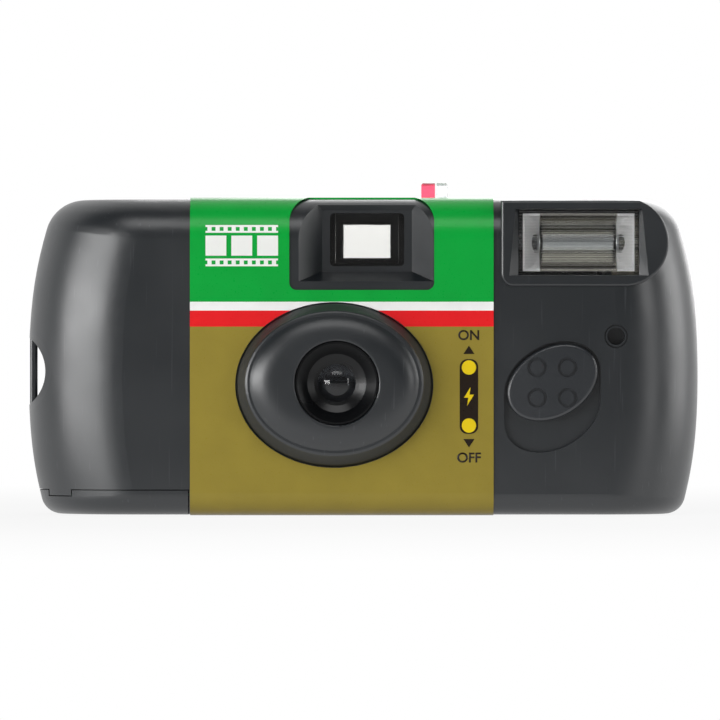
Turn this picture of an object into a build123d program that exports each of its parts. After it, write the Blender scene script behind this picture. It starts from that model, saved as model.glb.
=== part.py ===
"""Single-use 35 mm film camera with a built-in flash, one STEP file for each piece.

Millimetres. The front faces -Y, +X is to the right as seen from the front and +Z is up. The
origin lies under the middle of the camera, on the surface that it stands on.
"""

from build123d import *
from math import atan2, cos, degrees, hypot, radians, sin, sqrt
import os

os.makedirs("parts", exist_ok=True)

# Casing: outer form
half_width = 54.0
top_room = 12.0
front_y = -12.0
back_y = 16.7
side_low_z = 20.0
side_high_z = 25.0
side_low_radius = 74.0
side_high_radius = 80.0
grip_front_radius = 15.5
flash_end_front_radius = 13.0
flash_end_back_radius = 7.5
grip_back_radius = 9.5
top_edge_radius = 6.4
bottom_edge_radius = 3.3
level_shares = (0.1, 0.24, 0.395, 0.49, 0.65, 0.83)

# Casing: walls, joints between pieces and cuts
wall = 1.0
split_y = 3.0
clearance = 0.3
seam = 0.15
fit = 0.1
overrun = 2.0

# Printed label round the middle
label_left = -27.7
label_right = 20.9
label_thickness = 0.3
base_lift = 0.12

# Viewfinder
finder_x = 0.65
finder_drop = 6.5
finder_lens_width = 12.6
finder_lens_height = 9.2
finder_lens_thickness = 1.2
finder_lens_y = -8.0
finder_sight_width = 7.6
finder_sight_height = 5.4
finder_tunnel_width = 10.2
eyepiece_face_y = 15.3
eyepiece_block_depth = 1.8
eyepiece_thickness = 0.6
eyepiece_flange = 0.5
hood_mouth_left = -10.3
hood_mouth_right = 11.3
hood_mouth_drop = 13.2
hood_frame_width = 14.4
hood_frame_height = 9.8
hood_frame_y = -8.3
hood_back_y = -7.0
hood_frame_lip = 0.7
finder_cutout_drop = 14.6
finder_cutout_width = 23.2
finder_cutout_x = -0.2
finder_cutout_top_radius = 4.0
finder_cutout_bottom_radius = 1.2

# Lens, its boss on the front cover and its stop
lens_x = -4.2
film_base_z = 3.7
boss_x = -4.6
boss_drop = 0.3
boss_tip_y = -17.0
boss_base_half_width = 15.76
boss_base_half_height = 13.17
rim_half_width = 14.2
rim_half_height = 11.5
rim_round = 0.5
dome_insets = (0.7, 1.3, 2.2, 3.4)
dome_rises = (0.0, 0.5, 0.95, 1.25)
dome_height = 1.4
dome_land = 0.55
boss_hole_radius = 6.75
boss_hole_round = 0.25
boss_hollow_wall = 2.3
boss_hollow_y = -14.0
lens_ring_flange = 1.9
lens_ring_flange_thickness = 0.9
lens_ring_recess = 0.9
lens_ring_step_radii = (6.3, 4.7, 3.6, 3.05)
lens_ring_step_depths = (0.0, 1.5, 2.4, 3.0)
taking_lens_radius = 4.1
taking_lens_edge = 1.1
taking_lens_cap_radius = 3.6
taking_lens_front_radius = 4.6
taking_lens_back_radius = 12.5
lens_holder_radius = 6.5
lens_holder_thickness = 0.7
lens_holder_y = -9.9
stop_radius = 1.6
holder_leg_radius = 0.55
holder_leg_distance = 5.4
holder_leg_angle = 62.0

# Film
film_y = 14.1
film_width = 35.0
film_thickness = 0.15
frame_width = 36.0
frame_height = 24.0
perforation_pitch = 4.75
perforation_width = 2.0
perforation_height = 2.8
perforation_inset = 2.0

# Film cartridge and its spool
cartridge_x = -37.0
cartridge_y = 2.9
cartridge_radius = 12.5
cartridge_sheet = 0.3
cartridge_end_room = 2.4
cartridge_base_drop = 2.5
cap_skirt = 1.9
lip_length = 6.6
spool_core_radius = 5.6
spool_flange_radius = 10.6
spool_flange = 0.8
spool_neck_radius = 3.9

# Supply roll
roll_x = 26.8
roll_radius = 8.6
roll_core_radius = 4.0
roll_chamber_radius = 10.2
supply_spool_flange_radius = 8.9
supply_spool_flange = 0.8

# Main frame
frame_wall = 0.9
tunnel_front_y = -7.9
tunnel_front_width = 12.0
tunnel_front_height = 9.0
seat_plate_thickness = 1.0
seat_plate_margin = 1.6
seat_hole_radius = 2.6
gate_plate_thickness = 1.0
gate_plate_margin = 1.1
deck_gap = 0.7
gate_plate_left = -23.6
gate_plate_right = 16.6
rail_height = 0.2
rail_width = 1.4
deck_thickness = 1.0
deck_front_y = -6.6
deck_left = -23.5
frame_floor_z = 2.0
cartridge_wall_base_z = 3.5
cartridge_wall_angles = (210, 345)
roll_wall_angles = (150, 420)
cell_clip_angles = (120, 300)

# Film transport
thumbwheel_radius = 13.2
thumbwheel_thickness = 2.4
thumbwheel_gap = 1.5
thumbwheel_teeth = 54
thumbwheel_tooth_depth = 0.7
thumbwheel_tooth_width = 0.75
thumbwheel_hub_radius = 4.6
drive_blade_width = 1.4
drive_blade_length = 5.0
drive_blade_drop = 3.2
sprocket_x = -15.5
sprocket_tip_radius = 6.0
sprocket_root_radius = 5.3
sprocket_teeth = 8
sprocket_tooth_width = 1.5
sprocket_drop = 2.7
sprocket_thickness = 1.6
sprocket_shaft_radius = 1.0
sprocket_shaft_tail = 0.2
sprocket_shaft_gap = 0.7
sprocket_cam_radius = 2.4
shelf_drop = 2.0
shelf_thickness = 1.0
counter_x = -20.3
counter_y = 1.0
counter_radius = 6.0
counter_thickness = 1.2
counter_drop = 2.4
counter_post_radius = 1.1
counter_teeth = 30
counter_tooth = 0.6
counter_window_x = -20.3
counter_window_y = -2.6
counter_window_width = 5.0
counter_window_depth = 3.6
counter_window_flange = 0.6

# Shutter
blade_pivot_x = -12.6
blade_pivot_rise = 6.3
blade_y = -9.45
blade_thickness = 0.25
blade_disc_radius = 2.7
blade_hub_radius = 1.9
blade_pin_radius = 0.8
blade_tab_width = 1.6
blade_tab_rise = 13.3
kick_pivot_x = -16.1
kick_pivot_y = -2.0
kick_post_radius = 1.0
kick_hub_radius = 2.0
kick_gap = 0.4
kick_thickness = 1.0
kick_finger_width = 1.1
kick_finger_reach = 2.0
kick_rear_arm = 6.0
kick_arm_width = 1.8
spring_wire_radius = 0.18
kick_spring_radius = 1.5
kick_spring_height = 1.6
shutter_spring_radius = 0.7
shutter_spring_length = 6.0
shutter_spring_turns = 9

# Shutter button and release lever
button_x = -33.5
button_y = -1.6
button_radius = 4.2
button_flange_radius = 4.9
button_flange = 0.7
button_stem_radius = 1.5
lever_pivot_x = -22.6
lever_y = -3.5
lever_width = 2.3
lever_drop = 3.7
lever_thickness = 0.8
lever_left = -34.8
lever_right = -20.2
lever_pin_radius = 0.5
lever_hub_radius = 0.8
ear_thickness = 0.8
ear_width = 2.2

# Flash window, reflector and tube
bezel_y = -12.5
bezel_left = 22.1
bezel_height = 13.7
bezel_corner_radius = 1.9
bezel_edge_round = 0.4
bezel_margin = 0.3
bezel_arc_start_x = 44.2
bezel_arc_x = 48.9
bezel_arc_drop = 6.1
bezel_arc_end_x = 42.4
bezel_back_y = -5.4
window_left = 24.9
window_right = 44.2
window_height = 10.5
window_margin = 1.7
window_recess = 1.3
window_mouth_bottom_grow = 1.5
window_mouth_top_grow = 0.5
window_thickness = 1.3
window_rib_pitch = 0.9
window_rib_depth = 0.25
reflector_depth = 6.0
reflector_sheet = 0.35
reflector_margin = 0.7
reflector_back_width = 12.3
tube_radius = 1.25
tube_electrode_radius = 0.45
tube_overhang = 0.9
tube_y_gap = 0.6

# Flash switch
switch_x = 30.3
switch_z = 21.3
knob_half_length = 7.76
knob_half_width = 5.55
knob_tilt = 30.5
knob_top_y = -12.9
knob_edge_round = 0.5
knob_bump_spacing = 4.87
knob_bump_radius = 1.1
knob_ring_radius = 1.57
knob_ring_depth = 0.4
switch_travel = 4.6
recess_depth = 1.2
recess_floor = 0.8
recess_clearance = 0.45
stem_width = 2.0
stem_height = 1.2
slider_thickness = 0.7
slider_bar_height = 4.0
slider_riser_x = 14.4
slider_riser_width = 2.4
slider_arm_drop = 12.2
slider_arm_thickness = 1.2
pipe_left = 9.4
pipe_right = 13.6
pipe_split_x = 11.75
pipe_split_gap = 0.3
pipe_depth = 2.6
pipe_reach = 2.7
pipe_split_drop = 6.7
pipe_top_round = 0.4
front_hole_x = 40.5
front_hole_z = 28.7
front_hole_radius = 1.9
front_hole_pilot_radius = 1.4
front_hole_depth = 0.5
front_hole_ring_radius = 1.65
front_hole_wall = 0.7
front_hole_cup = 2.6

# Flash circuit and its cell
board_left = 16.2
board_right = 48.0
board_bottom = 4.5
board_top_drop = 12.9
board_y = -7.4
board_thickness = 1.2
capacitor_x = 11.2
capacitor_y = -2.5
capacitor_radius = 4.4
capacitor_length = 27.5
capacitor_base_z = 4.2
capacitor_crimp = 0.4
transformer_width = 8.0
transformer_depth = 5.6
transformer_height = 8.6
transformer_x = 43.5
transformer_z = 8.0
transformer_flange = 1.2
coil_radius = 2.4
coil_length = 7.0
coil_x = 44.0
coil_z = 30.0
cell_x = 43.6
cell_y = 6.2
cell_radius = 5.2
cell_length = 43.2
cell_nub_radius = 1.9
cell_nub = 1.3
cell_base_z = 2.9
contact_sheet = 0.4
contact_width = 7.0
resistor_radius = 0.9
resistor_length = 4.2
resistor_count = 3
resistor_pitch = 3.4
lamp_radius = 1.4
lamp_length = 5.0
sync_gap = 0.5
sync_drop = 2.2
sync_thickness = 0.3

# Cartridge door and strap notch
door_right = -28.0
door_hinge_y = 13.2
door_lip_z = 4.0
door_step_x = -46.7
door_step_left = -50.6
door_step_z = 3.0
latch_left = -49.8
latch_right = -47.5
latch_bottom = 4.5
latch_height = 0.6
strap_notch_z = 23.1
strap_notch_radius = 6.6
strap_notch_apex = -51.06
strap_bar_x = -53.3
strap_bar_width = 1.2
strap_bar_depth = 2.2
strap_bar_y = 6.0
strap_bar_half_length = 6.6

# Thumbwheel window in the back
scoop_left = -45.5
scoop_right = -28.5
scoop_flare = 3.0

# Places worked out from the sizes above
film_low = film_base_z
film_high = film_low + film_width
lens_z = (film_low + film_high) / 2
boss_z = lens_z - boss_drop
rim_y = boss_tip_y + dome_height
body_height = film_high + top_room
inner_front_y = front_y + wall
inner_back_y = back_y - wall
inner_top_z = body_height - wall
cartridge_base_z = film_low - cartridge_base_drop
cartridge_length = film_width + 2 * cartridge_end_room
gate_plate_bottom = film_low - gate_plate_margin
gate_plate_top = film_high + deck_gap
deck_z = gate_plate_top
thumbwheel_z = deck_z + deck_thickness + thumbwheel_gap
kick_z = deck_z + deck_thickness + kick_gap
sprocket_z = film_high - sprocket_drop
shelf_z = sprocket_z - shelf_drop
sprocket_shaft_bottom = shelf_z + sprocket_shaft_tail
counter_z = inner_top_z - counter_drop
sprocket_shaft_top = counter_z - sprocket_shaft_gap
lever_z = inner_top_z - lever_drop
blade_pivot_z = lens_z + blade_pivot_rise
blade_tab_top = lens_z + blade_tab_rise
kick_finger_bottom = blade_tab_top - kick_finger_reach
bezel_top = body_height - bezel_margin
bezel_bottom = bezel_top - bezel_height
bezel_arc_z = body_height - bezel_arc_drop
window_top = body_height - window_margin
window_bottom = window_top - window_height
finder_z = body_height - finder_drop
hood_mouth_bottom = body_height - hood_mouth_drop
finder_cutout_bottom = body_height - finder_cutout_drop
slider_arm_z = body_height - slider_arm_drop
pipe_top = body_height + pipe_reach
pipe_split_bottom = body_height - pipe_split_drop
board_top = body_height - board_top_drop
roll_y = film_y - roll_radius
sprocket_y = film_y - fit - sprocket_tip_radius
gate_back_y = film_y - rail_height
gate_front_y = gate_back_y - gate_plate_thickness
hood_frame_bottom = finder_z + finder_lens_height / 2 - hood_frame_height + fit
recess_floor_y = front_y + recess_depth
slider_y = recess_floor_y + recess_floor + clearance
eyepiece_block_y = eyepiece_face_y - eyepiece_block_depth
eyepiece_seat_y = eyepiece_block_y + eyepiece_flange + 2 * fit


def facing(y):
    """An upright plane at depth y that faces the front of the camera"""
    return Plane.XZ.offset(-y)


def half_width_at(z):
    """Half the camera's width at height z: upright in the middle, bowed in above and below"""
    if z > side_high_z:
        return half_width - side_high_radius + sqrt(side_high_radius**2 - (z - side_high_z) ** 2)
    if z < side_low_z:
        return half_width - side_low_radius + sqrt(side_low_radius**2 - (side_low_z - z) ** 2)
    return half_width


def body_block(inset):
    """The camera's outer form, drawn in by the inset on every side"""
    levels = [base_lift + inset] + [share * body_height for share in level_shares] + [body_height - inset]
    front = front_y + inset
    back = back_y - inset
    corner_radii = [
        grip_front_radius - inset,
        flash_end_front_radius - inset,
        flash_end_back_radius - inset,
        grip_back_radius - inset,
    ]
    with BuildPart() as block:
        for level in levels:
            half = half_width_at(level) - inset
            corners = [(-half, front), (half, front), (half, back), (-half, back)]
            with BuildSketch(Plane.XY.offset(level)):
                with BuildLine():
                    FilletPolyline(*corners, radius=corner_radii, close=True)
                make_face()
        loft()
        fillet(block.edges().group_by(Axis.Z)[-1], top_edge_radius - inset)
        fillet(block.edges().group_by(Axis.Z)[0], bottom_edge_radius - inset)
    return block.part


def wall_of_casing(outer, inner):
    """The hollow casing before it is parted into covers, with the strap notch let in"""
    with BuildPart() as hollow:
        add(outer)
        add(inner, mode=Mode.SUBTRACT)
        with BuildSketch(facing(back_y)):
            with Locations((strap_notch_apex - strap_notch_radius, strap_notch_z)):
                Circle(strap_notch_radius + wall)
        notch_wall = extrude(amount=back_y - front_y, mode=Mode.PRIVATE)
        add(notch_wall & outer)
        with BuildSketch(facing(back_y + overrun)):
            with Locations((strap_notch_apex - strap_notch_radius, strap_notch_z)):
                Circle(strap_notch_radius)
        extrude(amount=back_y - front_y + 2 * overrun, mode=Mode.SUBTRACT)
    return hollow.part


def door_outline(grow):
    """The cartridge door's outline seen from the front, with the step at its latch"""
    far_left = -half_width - overrun
    right = door_right + grow
    lip = door_lip_z + grow
    step = door_step_z + grow
    return [
        (far_left, -overrun),
        (right, -overrun),
        (right, lip),
        (door_step_x - grow, lip),
        (door_step_x - grow, step),
        (door_step_left + grow, step),
        (door_step_left + grow, lip),
        (far_left, lip),
    ]


def door_region(grow):
    """The space taken by the cartridge door, with a seam round it"""
    depth = door_hinge_y + grow - front_y + overrun
    with BuildPart() as region:
        with BuildSketch(facing(door_hinge_y + grow)):
            with BuildLine():
                Polyline(*door_outline(grow), close=True)
            make_face()
        extrude(amount=depth)
    return region.part


def label_profile(grow, base):
    """Section of the casing in its middle, drawn out by grow, standing on base"""
    low = bottom_edge_radius + grow
    high = top_edge_radius + grow
    with BuildSketch() as profile:
        with BuildLine():
            FilletPolyline(
                (front_y - grow, base),
                (back_y + grow, base),
                (back_y + grow, body_height + grow),
                (front_y - grow, body_height + grow),
                radius=[low, low, high, high],
                close=True,
            )
        make_face()
    return profile.sketch


def band_round_casing():
    """The label before its openings are cut: a thin ring round the middle of the casing"""
    with BuildPart() as band:
        with BuildSketch(Plane.YZ.offset(label_left)):
            add(label_profile(label_thickness, 0))
            add(label_profile(0, base_lift), mode=Mode.SUBTRACT)
        extrude(amount=label_right - label_left)
    return band.part


def knob_sweep(grow, travel):
    """The tilted oval of the switch knob, swept down by its travel, as a sketch"""
    half_length = knob_half_length + grow
    half_breadth = knob_half_width + grow
    tilt = radians(knob_tilt)
    side = sqrt((half_length * cos(tilt)) ** 2 + (half_breadth * sin(tilt)) ** 2)
    lift = (half_length**2 - half_breadth**2) * sin(tilt) * cos(tilt) / side
    with BuildSketch() as sweep:
        for drop in (0, travel):
            with Locations((switch_x, switch_z - drop)):
                Ellipse(half_length, half_breadth, rotation=knob_tilt)
        if travel > 0:
            with BuildLine():
                Polyline(
                    (switch_x + side, switch_z + lift),
                    (switch_x + side, switch_z + lift - travel),
                    (switch_x - side, switch_z - lift - travel),
                    (switch_x - side, switch_z - lift),
                    close=True,
                )
            make_face()
    return sweep.sketch


def write(piece, name):
    """Label a finished piece and write its file"""
    piece.part.label = name
    export_step(piece.part, f"parts/{name}.step")
    box = piece.part.bounding_box()
    print(f"{name}: {len(piece.part.solids())} solid(s), {box.size}")


outer_block = body_block(0)
cavity = body_block(wall)
casing = wall_of_casing(outer_block, cavity)
room = body_block(wall + fit)
label_band = band_round_casing()

# Front cover: casing in front of the split, with the hood, lens boss, bezel and switch recess
with BuildPart() as front_cover:
    add(casing)
    split(bisect_by=Plane.XZ.offset(-split_y), keep=Keep.TOP)

    # Lens boss: a steep oval flank with a small rim, and a dome that levels out towards the hole
    with BuildSketch(facing(inner_front_y)):
        with Locations((boss_x, boss_z)):
            Ellipse(boss_base_half_width, boss_base_half_height)
    extrude(amount=wall)
    with BuildPart(mode=Mode.PRIVATE) as boss:
        with BuildSketch(facing(front_y)):
            with Locations((boss_x, boss_z)):
                Ellipse(boss_base_half_width, boss_base_half_height)
        with BuildSketch(facing(rim_y)):
            with Locations((boss_x, lens_z)):
                Ellipse(rim_half_width, rim_half_height)
        loft()
        fillet(boss.edges().group_by(Axis.Y)[0], rim_round)
    with BuildPart(mode=Mode.PRIVATE) as dome:
        for inset, rise in zip(dome_insets, dome_rises):
            with BuildSketch(facing(rim_y - rise)):
                with Locations((boss_x, lens_z)):
                    Ellipse(rim_half_width - inset, rim_half_height - inset)
        with BuildSketch(facing(boss_tip_y)):
            with Locations((lens_x, lens_z)):
                Circle(boss_hole_radius + dome_land)
        loft()
    add(boss.part)
    add(dome.part)
    with BuildSketch(facing(boss_hollow_y)):
        with Locations((boss_x, boss_z)):
            Ellipse(boss_base_half_width - boss_hollow_wall, boss_base_half_height - boss_hollow_wall)
    extrude(amount=boss_hollow_y - inner_front_y - overrun, mode=Mode.SUBTRACT)
    with BuildSketch(facing(boss_hollow_y)):
        with Locations((lens_x, lens_z)):
            Circle(boss_hole_radius)
    extrude(amount=boss_hollow_y - boss_tip_y, mode=Mode.SUBTRACT)
    hole_edges = front_cover.edges().filter_by(GeomType.CIRCLE).group_by(Axis.Y)[0]
    fillet(hole_edges.sort_by(SortBy.LENGTH)[0], boss_hole_round)

    # Viewfinder hood: a funnel let into the upper front edge, with a frame for the lens
    mouth_width = hood_mouth_right - hood_mouth_left
    mouth_height = body_height + overrun + wall - hood_mouth_bottom
    mouth_x = (hood_mouth_right + hood_mouth_left) / 2
    frame_z = hood_frame_bottom + hood_frame_height / 2
    funnels = []
    for thickness in (wall, 0):
        with BuildPart(mode=Mode.PRIVATE) as funnel:
            with BuildSketch(facing(front_y)):
                with Locations((mouth_x, hood_mouth_bottom + mouth_height / 2)):
                    Rectangle(mouth_width + 2 * thickness, mouth_height + 2 * thickness)
            with BuildSketch(facing(hood_frame_y)):
                with Locations((finder_x, frame_z)):
                    Rectangle(hood_frame_width + 2 * thickness, hood_frame_height + 2 * thickness)
            loft()
        funnels.append(funnel.part)
    add(funnels[0] & outer_block)
    with BuildSketch(facing(hood_back_y)):
        with Locations((finder_x, frame_z)):
            Rectangle(hood_frame_width + 2 * wall, hood_frame_height + 2 * wall)
    frame_block = extrude(amount=hood_back_y - hood_frame_y, mode=Mode.PRIVATE)
    add(frame_block & outer_block)
    add(funnels[1], mode=Mode.SUBTRACT)
    with BuildSketch(facing(hood_back_y + overrun)):
        with Locations((finder_x, finder_z)):
            Rectangle(finder_lens_width + 2 * fit, finder_lens_height + 2 * fit)
    extrude(amount=hood_back_y + overrun - finder_lens_y, mode=Mode.SUBTRACT)
    with BuildSketch(facing(hood_back_y + overrun)):
        with Locations((finder_x, finder_z)):
            RectangleRounded(
                finder_lens_width - hood_frame_lip, finder_lens_height - hood_frame_lip, hood_frame_lip
            )
    extrude(amount=hood_back_y + overrun - front_y, mode=Mode.SUBTRACT)

    # Flash bezel: a flat pad with a round right end, and a trapezium funnel to the window
    with BuildSketch(facing(bezel_back_y)):
        with BuildLine():
            Polyline(
                (bezel_arc_end_x, bezel_bottom),
                (bezel_left, bezel_bottom),
                (bezel_left, bezel_top),
                (bezel_arc_start_x, bezel_top),
            )
            ThreePointArc(
                (bezel_arc_start_x, bezel_top), (bezel_arc_x, bezel_arc_z), (bezel_arc_end_x, bezel_bottom)
            )
        make_face()
    bezel = extrude(amount=bezel_back_y - bezel_y, mode=Mode.PRIVATE)
    bezel_low_edges = bezel.edges().filter_by(Axis.Y).group_by(Axis.Z)[0]
    bezel = bezel.fillet(bezel_corner_radius, bezel_low_edges.group_by(Axis.X)[0])
    bezel = bezel.fillet(bezel_edge_round, bezel.edges().group_by(Axis.Y)[0])
    add(bezel - cavity)
    window_y = bezel_y + window_recess
    with BuildSketch(facing(window_y)):
        with BuildLine():
            Polyline(
                (window_left, window_bottom),
                (window_right, window_bottom),
                (window_right, window_top),
                (window_left, window_top),
                close=True,
            )
        make_face()
    with BuildSketch(facing(bezel_y)):
        with BuildLine():
            Polyline(
                (window_left - window_mouth_bottom_grow, window_bottom - fit),
                (window_right + window_mouth_bottom_grow, window_bottom - fit),
                (window_right + window_mouth_top_grow, window_top + fit),
                (window_left - window_mouth_top_grow, window_top + fit),
                close=True,
            )
        make_face()
    loft(mode=Mode.SUBTRACT)
    window_width = window_right - window_left
    window_height = window_top - window_bottom
    window_x = (window_left + window_right) / 2
    window_z = (window_bottom + window_top) / 2
    with BuildSketch(facing(bezel_back_y)):
        with Locations((window_x, window_z)):
            Rectangle(window_width, window_height)
    extrude(amount=bezel_back_y - window_y, mode=Mode.SUBTRACT)

    # Switch recess with its floor behind it, and the slot for the stem
    with BuildSketch(facing(recess_floor_y + recess_floor)):
        add(knob_sweep(recess_clearance + recess_floor, switch_travel))
    extrude(amount=recess_floor_y + recess_floor - inner_front_y)
    with BuildSketch(facing(recess_floor_y)):
        add(knob_sweep(recess_clearance, switch_travel))
    extrude(amount=recess_depth + overrun, mode=Mode.SUBTRACT)
    slot_height = stem_height + switch_travel + 2 * seam
    with BuildSketch(facing(recess_floor_y + recess_floor + overrun)):
        with Locations((switch_x, switch_z - switch_travel / 2)):
            Rectangle(stem_width + 2 * seam, slot_height)
    extrude(amount=recess_floor + 2 * overrun, mode=Mode.SUBTRACT)

    # Small round hole beside the flash: a blind cup with a ring round its mouth
    with BuildSketch(facing(inner_front_y)):
        with Locations((front_hole_x, front_hole_z)):
            Circle(front_hole_pilot_radius + front_hole_wall)
    extrude(amount=-front_hole_cup)
    with BuildSketch(facing(front_y + front_hole_depth)):
        with Locations((front_hole_x, front_hole_z)):
            Circle(front_hole_radius)
            Circle(front_hole_ring_radius, mode=Mode.SUBTRACT)
    extrude(amount=front_hole_depth + overrun, mode=Mode.SUBTRACT)
    with BuildSketch(facing(front_y + fit)):
        with Locations((front_hole_x, front_hole_z)):
            Circle(front_hole_radius)
    extrude(amount=fit + overrun, mode=Mode.SUBTRACT)
    with BuildSketch(facing(inner_front_y + front_hole_cup - front_hole_wall)):
        with Locations((front_hole_x, front_hole_z)):
            Circle(front_hole_pilot_radius)
    extrude(amount=front_hole_cup + wall + overrun, mode=Mode.SUBTRACT)

    # Holes in the top for the button, the counter window and the light pipe
    with BuildSketch(Plane.XY.offset(inner_top_z - overrun)):
        with Locations((button_x, button_y)):
            Circle(button_radius + clearance)
        with Locations((counter_window_x, counter_window_y)):
            Rectangle(counter_window_width, counter_window_depth)
        with Locations(((pipe_left + pipe_right) / 2, 0)):
            Rectangle(pipe_right - pipe_left + 2 * clearance, pipe_depth + 2 * clearance)
    extrude(amount=wall + 2 * overrun, mode=Mode.SUBTRACT)

    # Cartridge door, latch slot and the recess for the label under the base
    add(door_region(seam), mode=Mode.SUBTRACT)
    with BuildSketch(facing(inner_front_y + overrun + wall)):
        with Locations(((latch_left + latch_right) / 2, latch_bottom + latch_height / 2)):
            Rectangle(latch_right - latch_left, latch_height)
    extrude(amount=3 * wall + 2 * overrun, mode=Mode.SUBTRACT)
write(front_cover, "front_cover")

# Rear cover: casing behind the split, with the eyepiece, thumbwheel window and strap bar
with BuildPart() as rear_cover:
    add(casing)
    split(bisect_by=Plane.XZ.offset(-split_y), keep=Keep.BOTTOM)

    # Film ribs that keep the film against the gate
    rib_top = inner_back_y - film_y - film_thickness - fit
    rib_levels = (
        film_low + rail_width,
        lens_z - film_width / 4,
        lens_z + film_width / 4,
        film_high - rail_width,
    )
    for rib_z in rib_levels:
        with BuildSketch(facing(inner_back_y + wall / 2)):
            with Locations((lens_x, rib_z)):
                Rectangle(frame_width, rail_width / 2)
        extrude(amount=rib_top + wall / 2)

    # Eyepiece frame: a block inside the rounded edge, stepped for the eyepiece, with a flat recess
    with BuildSketch(facing(back_y)):
        with Locations((finder_x, finder_z)):
            Rectangle(finder_sight_width + 4 * wall, finder_sight_height + 4 * wall)
    eyepiece_block = extrude(amount=back_y - eyepiece_block_y, mode=Mode.PRIVATE)
    add(eyepiece_block & outer_block)
    with BuildSketch(facing(back_y + overrun)):
        with Locations((finder_x, finder_z)):
            RectangleRounded(finder_sight_width + 3 * wall, finder_sight_height + 3 * wall, wall)
    extrude(amount=back_y + overrun - eyepiece_face_y, mode=Mode.SUBTRACT)
    with BuildSketch(facing(back_y)):
        with Locations((finder_x, finder_z)):
            Rectangle(finder_sight_width, finder_sight_height)
    extrude(amount=back_y - eyepiece_block_y + overrun, mode=Mode.SUBTRACT)
    with BuildSketch(facing(eyepiece_seat_y)):
        with Locations((finder_x, finder_z)):
            Rectangle(finder_sight_width + wall + 2 * fit, finder_sight_height + wall + 2 * fit)
    extrude(amount=eyepiece_seat_y - eyepiece_block_y + overrun, mode=Mode.SUBTRACT)

    # Thumbwheel window with flared edges above and below
    scoop_x = (scoop_left + scoop_right) / 2
    scoop_z = thumbwheel_z + thumbwheel_thickness / 2
    scoop_width = scoop_right - scoop_left
    scoop_height = thumbwheel_thickness + 2 * clearance
    with BuildSketch(facing(inner_back_y - wall)):
        with Locations((scoop_x, scoop_z)):
            Rectangle(scoop_width, scoop_height)
    with BuildSketch(facing(back_y + wall)):
        with Locations((scoop_x, scoop_z)):
            Rectangle(scoop_width + wall, scoop_height + 2 * scoop_flare)
    loft(mode=Mode.SUBTRACT)
    with BuildSketch(Plane.XY.offset(thumbwheel_z - clearance)):
        with Locations((cartridge_x, cartridge_y)):
            Circle(thumbwheel_radius + clearance)
    extrude(amount=scoop_height, mode=Mode.SUBTRACT)

    # Room for the cartridge's lower rim in the rounded edge
    with BuildSketch(Plane.XY.offset(cartridge_base_z - fit)):
        with Locations((cartridge_x, cartridge_y)):
            Circle(cartridge_radius + fit)
    extrude(amount=cap_skirt + 2 * fit, mode=Mode.SUBTRACT)

    # Strap bar across the notch
    with BuildSketch(Plane.XY.offset(strap_notch_z - strap_bar_half_length)):
        with Locations((strap_bar_x, strap_bar_y)):
            RectangleRounded(strap_bar_width, strap_bar_depth, strap_bar_width / 3)
    strap_bar = extrude(amount=2 * strap_bar_half_length, mode=Mode.PRIVATE)
    add(strap_bar & outer_block)

    add(door_region(seam), mode=Mode.SUBTRACT)
write(rear_cover, "rear_cover")

# Cartridge door: the piece of the base and lower front under the film cartridge
with BuildPart() as cartridge_door:
    add(casing)
    add(door_region(0), mode=Mode.INTERSECT)
    with BuildSketch(Plane.XY.offset(cartridge_base_z - fit / 2)):
        with Locations((cartridge_x, cartridge_y)):
            Circle(cartridge_radius + fit)
    extrude(amount=cap_skirt + door_lip_z, mode=Mode.SUBTRACT)
write(cartridge_door, "cartridge_door")


def bar_between(start, end, width):
    """A round-ended bar from one point of a sketch to another"""
    across = end[0] - start[0]
    along = end[1] - start[1]
    with Locations(((start[0] + end[0]) / 2, (start[1] + end[1]) / 2)):
        SlotCenterToCenter(hypot(across, along), width, rotation=degrees(atan2(along, across)))


def chamber_wall(x, y, radius, first_angle, last_angle):
    """A curved wall round an upright axis, between two angles, as a sketch"""
    reach = 3 * radius
    steps = 8
    angles = [radians(first_angle + (last_angle - first_angle) * k / steps) for k in range(steps + 1)]
    with BuildSketch() as sector:
        with BuildLine():
            Polyline((x, y), *[(x + reach * cos(a), y + reach * sin(a)) for a in angles], close=True)
        make_face()
        with Locations((x, y)):
            Circle(radius + frame_wall, mode=Mode.INTERSECT)
            Circle(radius, mode=Mode.SUBTRACT)
    return sector.sketch


def box_between(low, high, mode=Mode.ADD):
    """A block from its lowest corner to its highest, in the open part"""
    size = [high[k] - low[k] for k in range(3)]
    middle = [(high[k] + low[k]) / 2 for k in range(3)]
    with Locations(tuple(middle)):
        return Box(*size, mode=mode)


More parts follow.
